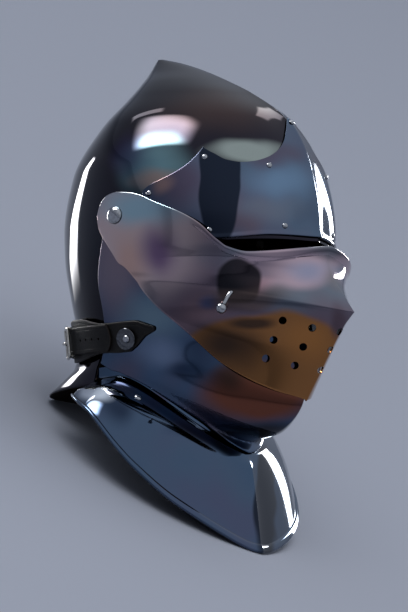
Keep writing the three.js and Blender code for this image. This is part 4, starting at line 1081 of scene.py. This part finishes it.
def makeBuckle():
    front = strapPoint(-buckle["frontTurn"], 0, buckle["frontLift"])
    rear = strapPoint(-buckle["rearTurn"], 0, buckle["rearLift"])
    along = rear - front
    width = np.linalg.norm(along) + buckle["bar"]
    along = along / np.linalg.norm(along)
    upright = strapPoint(-buckle["frontTurn"], 5, buckle["frontLift"]) - strapPoint(
        -buckle["frontTurn"], -5, buckle["frontLift"])
    outward = np.cross(along, upright)
    outward = outward / np.linalg.norm(outward)
    up = np.cross(outward, along)
    halfBar = buckle["bar"] / 2
    x, y, corner = width / 2 - halfBar, buckle["halfHeight"] - halfBar, buckle["corner"] - halfBar + 0.6
    route = []
    for centreX, centreY, start in ((x - corner, y - corner, 0), (corner - x, y - corner, 90),
                                    (corner - x, corner - y, 180), (x - corner, corner - y, 270)):
        for a in np.radians(np.linspace(start, start + 90, 9)):
            route.append((front + rear) / 2 + along * (centreX + corner * math.cos(a))
                         + up * (centreY + corner * math.sin(a)))
    piece = sweptPiece("buckleFrame", route, [halfBar] * len(route), outward, closed=True, sides=18)
    # the strap goes over the middle bar, which dips between the long sides, and under the front bar
    dips = [(11.6, 7.4), (11.5, 5.4), (10.9, 4.5), (9.5, 4.3), (0, 4.3)]
    dips += [(-offset, lift) for offset, lift in dips[-2::-1]]
    knots = np.array([strapPoint(-buckle["middleTurn"], offset, lift) for offset, lift in dips])
    route = routeThrough(knots, 50)[0]
    takeIn(piece, sweptPiece("buckleMiddle", route, [halfBar * 0.8] * len(route), along))
    finishPiece(piece, "helmet", buckleNickel, ["buckle_frame"])

    knots = np.array([strapPoint(-turn, 0, lift) for turn, lift in buckle["prong"]])
    route, spans, steps = routeThrough(knots, 40)
    # it tapers over its last third
    radii = np.interp(steps, [0, spans[-1] * 0.7, spans[-1]], [1.0, 1.0, 0.55]) * buckle["prongRadius"]
    piece = sweptPiece("buckleProng", route, radii, up)
    finishPiece(piece, "helmet", buckleNickel, ["buckle_prong"])


def makeFastenings():
    washers, rivets = [], []
    for side, thickness in ((-1, strap["baseThickness"]), (1, strap["thickness"])):
        lift = strap["baseLift"] + thickness
        turn = side * strap["rivetTurn"]
        height = strap["height"] + strap["rise"] * (abs(turn) - strap["turn"]) + strap["rivetDrop"]
        facing = bevorSheet.normal(turn, bevorSheet.levelAt(turn, height))
        seat = strapPoint(turn, strap["rivetDrop"], lift + fastening["washerGap"])
        washers.append((seat, facing))
        rivets.append((seat + facing * (fastening["thickness"] + fastening["rivetGap"]), facing))
    radius, wall, dish, hole = (fastening[key] for key in ("radius", "thickness", "dish", "hole"))
    bend = np.linspace(0, 1, 10)
    under = [(hole + (radius - hole) * t, dish * t ** 2.4) for t in bend]
    over = [(hole + (radius - hole) * t, wall + dish * t ** 2.4) for t in bend[::-1]]
    rim = [(radius + 0.3, dish + wall * 0.3), (radius + 0.3, dish + wall * 0.7)]
    profile = under + rim + over + [under[0]]
    finishPiece(lathePiece("strapWashers", profile, washers, 56), "helmet", washerSteel,
                ["strap_washer_right", "strap_washer_left"])
    finishPiece(riveted("strapRivets", rivets, fastening), "helmet", rivetSteel,
                ["strap_rivet_right", "strap_rivet_left"])


makeStrap()
makeBuckle()
makeFastenings()
print("strap fittings made")

# Floor and lights
studio = {
    "floor": "#8b8f9a", "horizon": "#747b8b", "zenith": "#ccd2dc",
    # azimuth and elevation from the aim, distance, width, height in metres, watts, soft rim, roll, aim
    "lamps": {
        "key": (-70, 62, 3.0, 2.6, 2.6, 62, 0.1, 0, (0, 0, 0.1)),
        "back": (110, 55, 3.0, 2.6, 2.6, 36, 0.1, 0, (0, 0, 0.1)),
    },
    "reflections": {
        "side": (-147, 31, 1.6, 0.72, 1.2, 48, 0.3, -24, (0, 0, 0.16)),
        "far": (101, 14, 2.2, 0.34, 1.1, 34, 0.2, 0, (0, 0, 0.12)),
        "floorCard": (0, -90, 0.298, 1.0, 0.1, 7.5, 0.2, 0, (-0.7, -0.03, 0.3)),
        "paneTop": (-171, 19, 2.0, 0.22, 0.7, 1.6, 0.15, 0, (0, 0, 0.25)),
        "paneFront": (132, 45, 2.0, 0.26, 0.95, 2.4, 0.15, 0, (0, 0, 0.25)),
    },
}


def makeStudio():
    bm = bmesh.new()
    bmesh.ops.create_circle(bm, cap_ends=True, segments=96, radius=40)
    mesh = bpy.data.meshes.new("studioFloor")
    bm.to_mesh(mesh)
    bm.free()
    floor = bpy.data.objects.new("studioFloor", mesh)
    bpy.context.scene.collection.objects.link(floor)
    material, tree = newMaterial("matt painted floor")
    speck = addNode(tree, "ShaderNodeTexNoise", inputs={
        "Vector": addNode(tree, "ShaderNodeTexCoord").outputs["Object"], "Scale": 1.5, "Detail": 2.0})
    rough = addNode(tree, "ShaderNodeMapRange", inputs={
        "Value": speck.outputs["Fac"], "To Min": 0.6, "To Max": 0.8})
    shader = addNode(tree, "ShaderNodeBsdfPrincipled", inputs={
        "Base Color": hexColour(studio["floor"]), "Roughness": rough.outputs["Result"],
        "Specular IOR Level": 0.0})
    addNode(tree, "ShaderNodeOutputMaterial", inputs={"Surface": shader.outputs["BSDF"]})
    mesh.materials.append(material)
    world = bpy.data.worlds.new("studioAir")
    world.use_nodes = True
    air = world.node_tree
    height = addNode(air, "ShaderNodeSeparateXYZ", inputs={
        0: addNode(air, "ShaderNodeTexCoord").outputs["Generated"]})
    rise = addNode(air, "ShaderNodeMapRange", {"interpolation_type": "SMOOTHSTEP"}, {
        "Value": height.outputs["Z"], "From Min": -0.1, "From Max": 0.85})
    shade = addNode(air, "ShaderNodeMix", {"data_type": "RGBA"}, {
        0: rise.outputs["Result"], 6: hexColour(studio["horizon"]), 7: hexColour(studio["zenith"])})
    air.links.new(shade.outputs[2], air.nodes["Background"].inputs["Color"])
    bpy.context.scene.world = world
    bpy.context.scene.view_settings.view_transform = "Standard"
    for group in ("lamps", "reflections"):
        for name, lampSizes in studio[group].items():
            azimuth, elevation, distance, width, height, watts, rim, roll, aim = lampSizes
            data = bpy.data.lights.new(name, "AREA")
            data.shape, data.size, data.size_y, data.energy = "RECTANGLE", width, height, watts
            softenRim(data, rim)
            lamp = bpy.data.objects.new(name, data)
            # the broad lamps light the floor, the small ones are only seen as highlights
            lamp.visible_camera = False
            lamp.visible_glossy = group == "reflections"
            lamp.visible_diffuse = group == "lamps"
            bpy.context.scene.collection.objects.link(lamp)
            a, e = math.radians(azimuth), math.radians(elevation)
            away = Vector((math.cos(e) * math.cos(a), math.cos(e) * math.sin(a), math.sin(e)))
            lamp.location = Vector(aim) + away * distance
            spin = Matrix.Rotation(math.radians(roll), 3, "Z")
            facing = away.to_track_quat("Z", "Y").to_matrix() @ spin
            lamp.rotation_euler = facing.to_euler()


def softenRim(data, rim):
    # a softbox is brightest in its middle
    data.use_nodes = True
    tree = data.node_tree
    glow = next(node for node in tree.nodes if node.bl_idname == "ShaderNodeEmission")
    across = addNode(tree, "ShaderNodeSeparateXYZ", inputs={
        0: addNode(tree, "ShaderNodeNewGeometry").outputs["Parametric"]})
    sides = []
    for axis in ("X", "Y"):
        toRim = addNode(tree, "ShaderNodeMath", {"operation": "PINGPONG"}, {
            0: across.outputs[axis], 1: 0.5})
        sides.append(addNode(tree, "ShaderNodeMapRange", {"interpolation_type": "SMOOTHSTEP"}, {
            "Value": toRim.outputs[0], "From Min": 0.0, "From Max": rim}).outputs["Result"])
    both = addNode(tree, "ShaderNodeMath", {"operation": "MULTIPLY"}, {0: sides[0], 1: sides[1]})
    tree.links.new(both.outputs[0], glow.inputs["Strength"])


makeStudio()
print("studio lit")
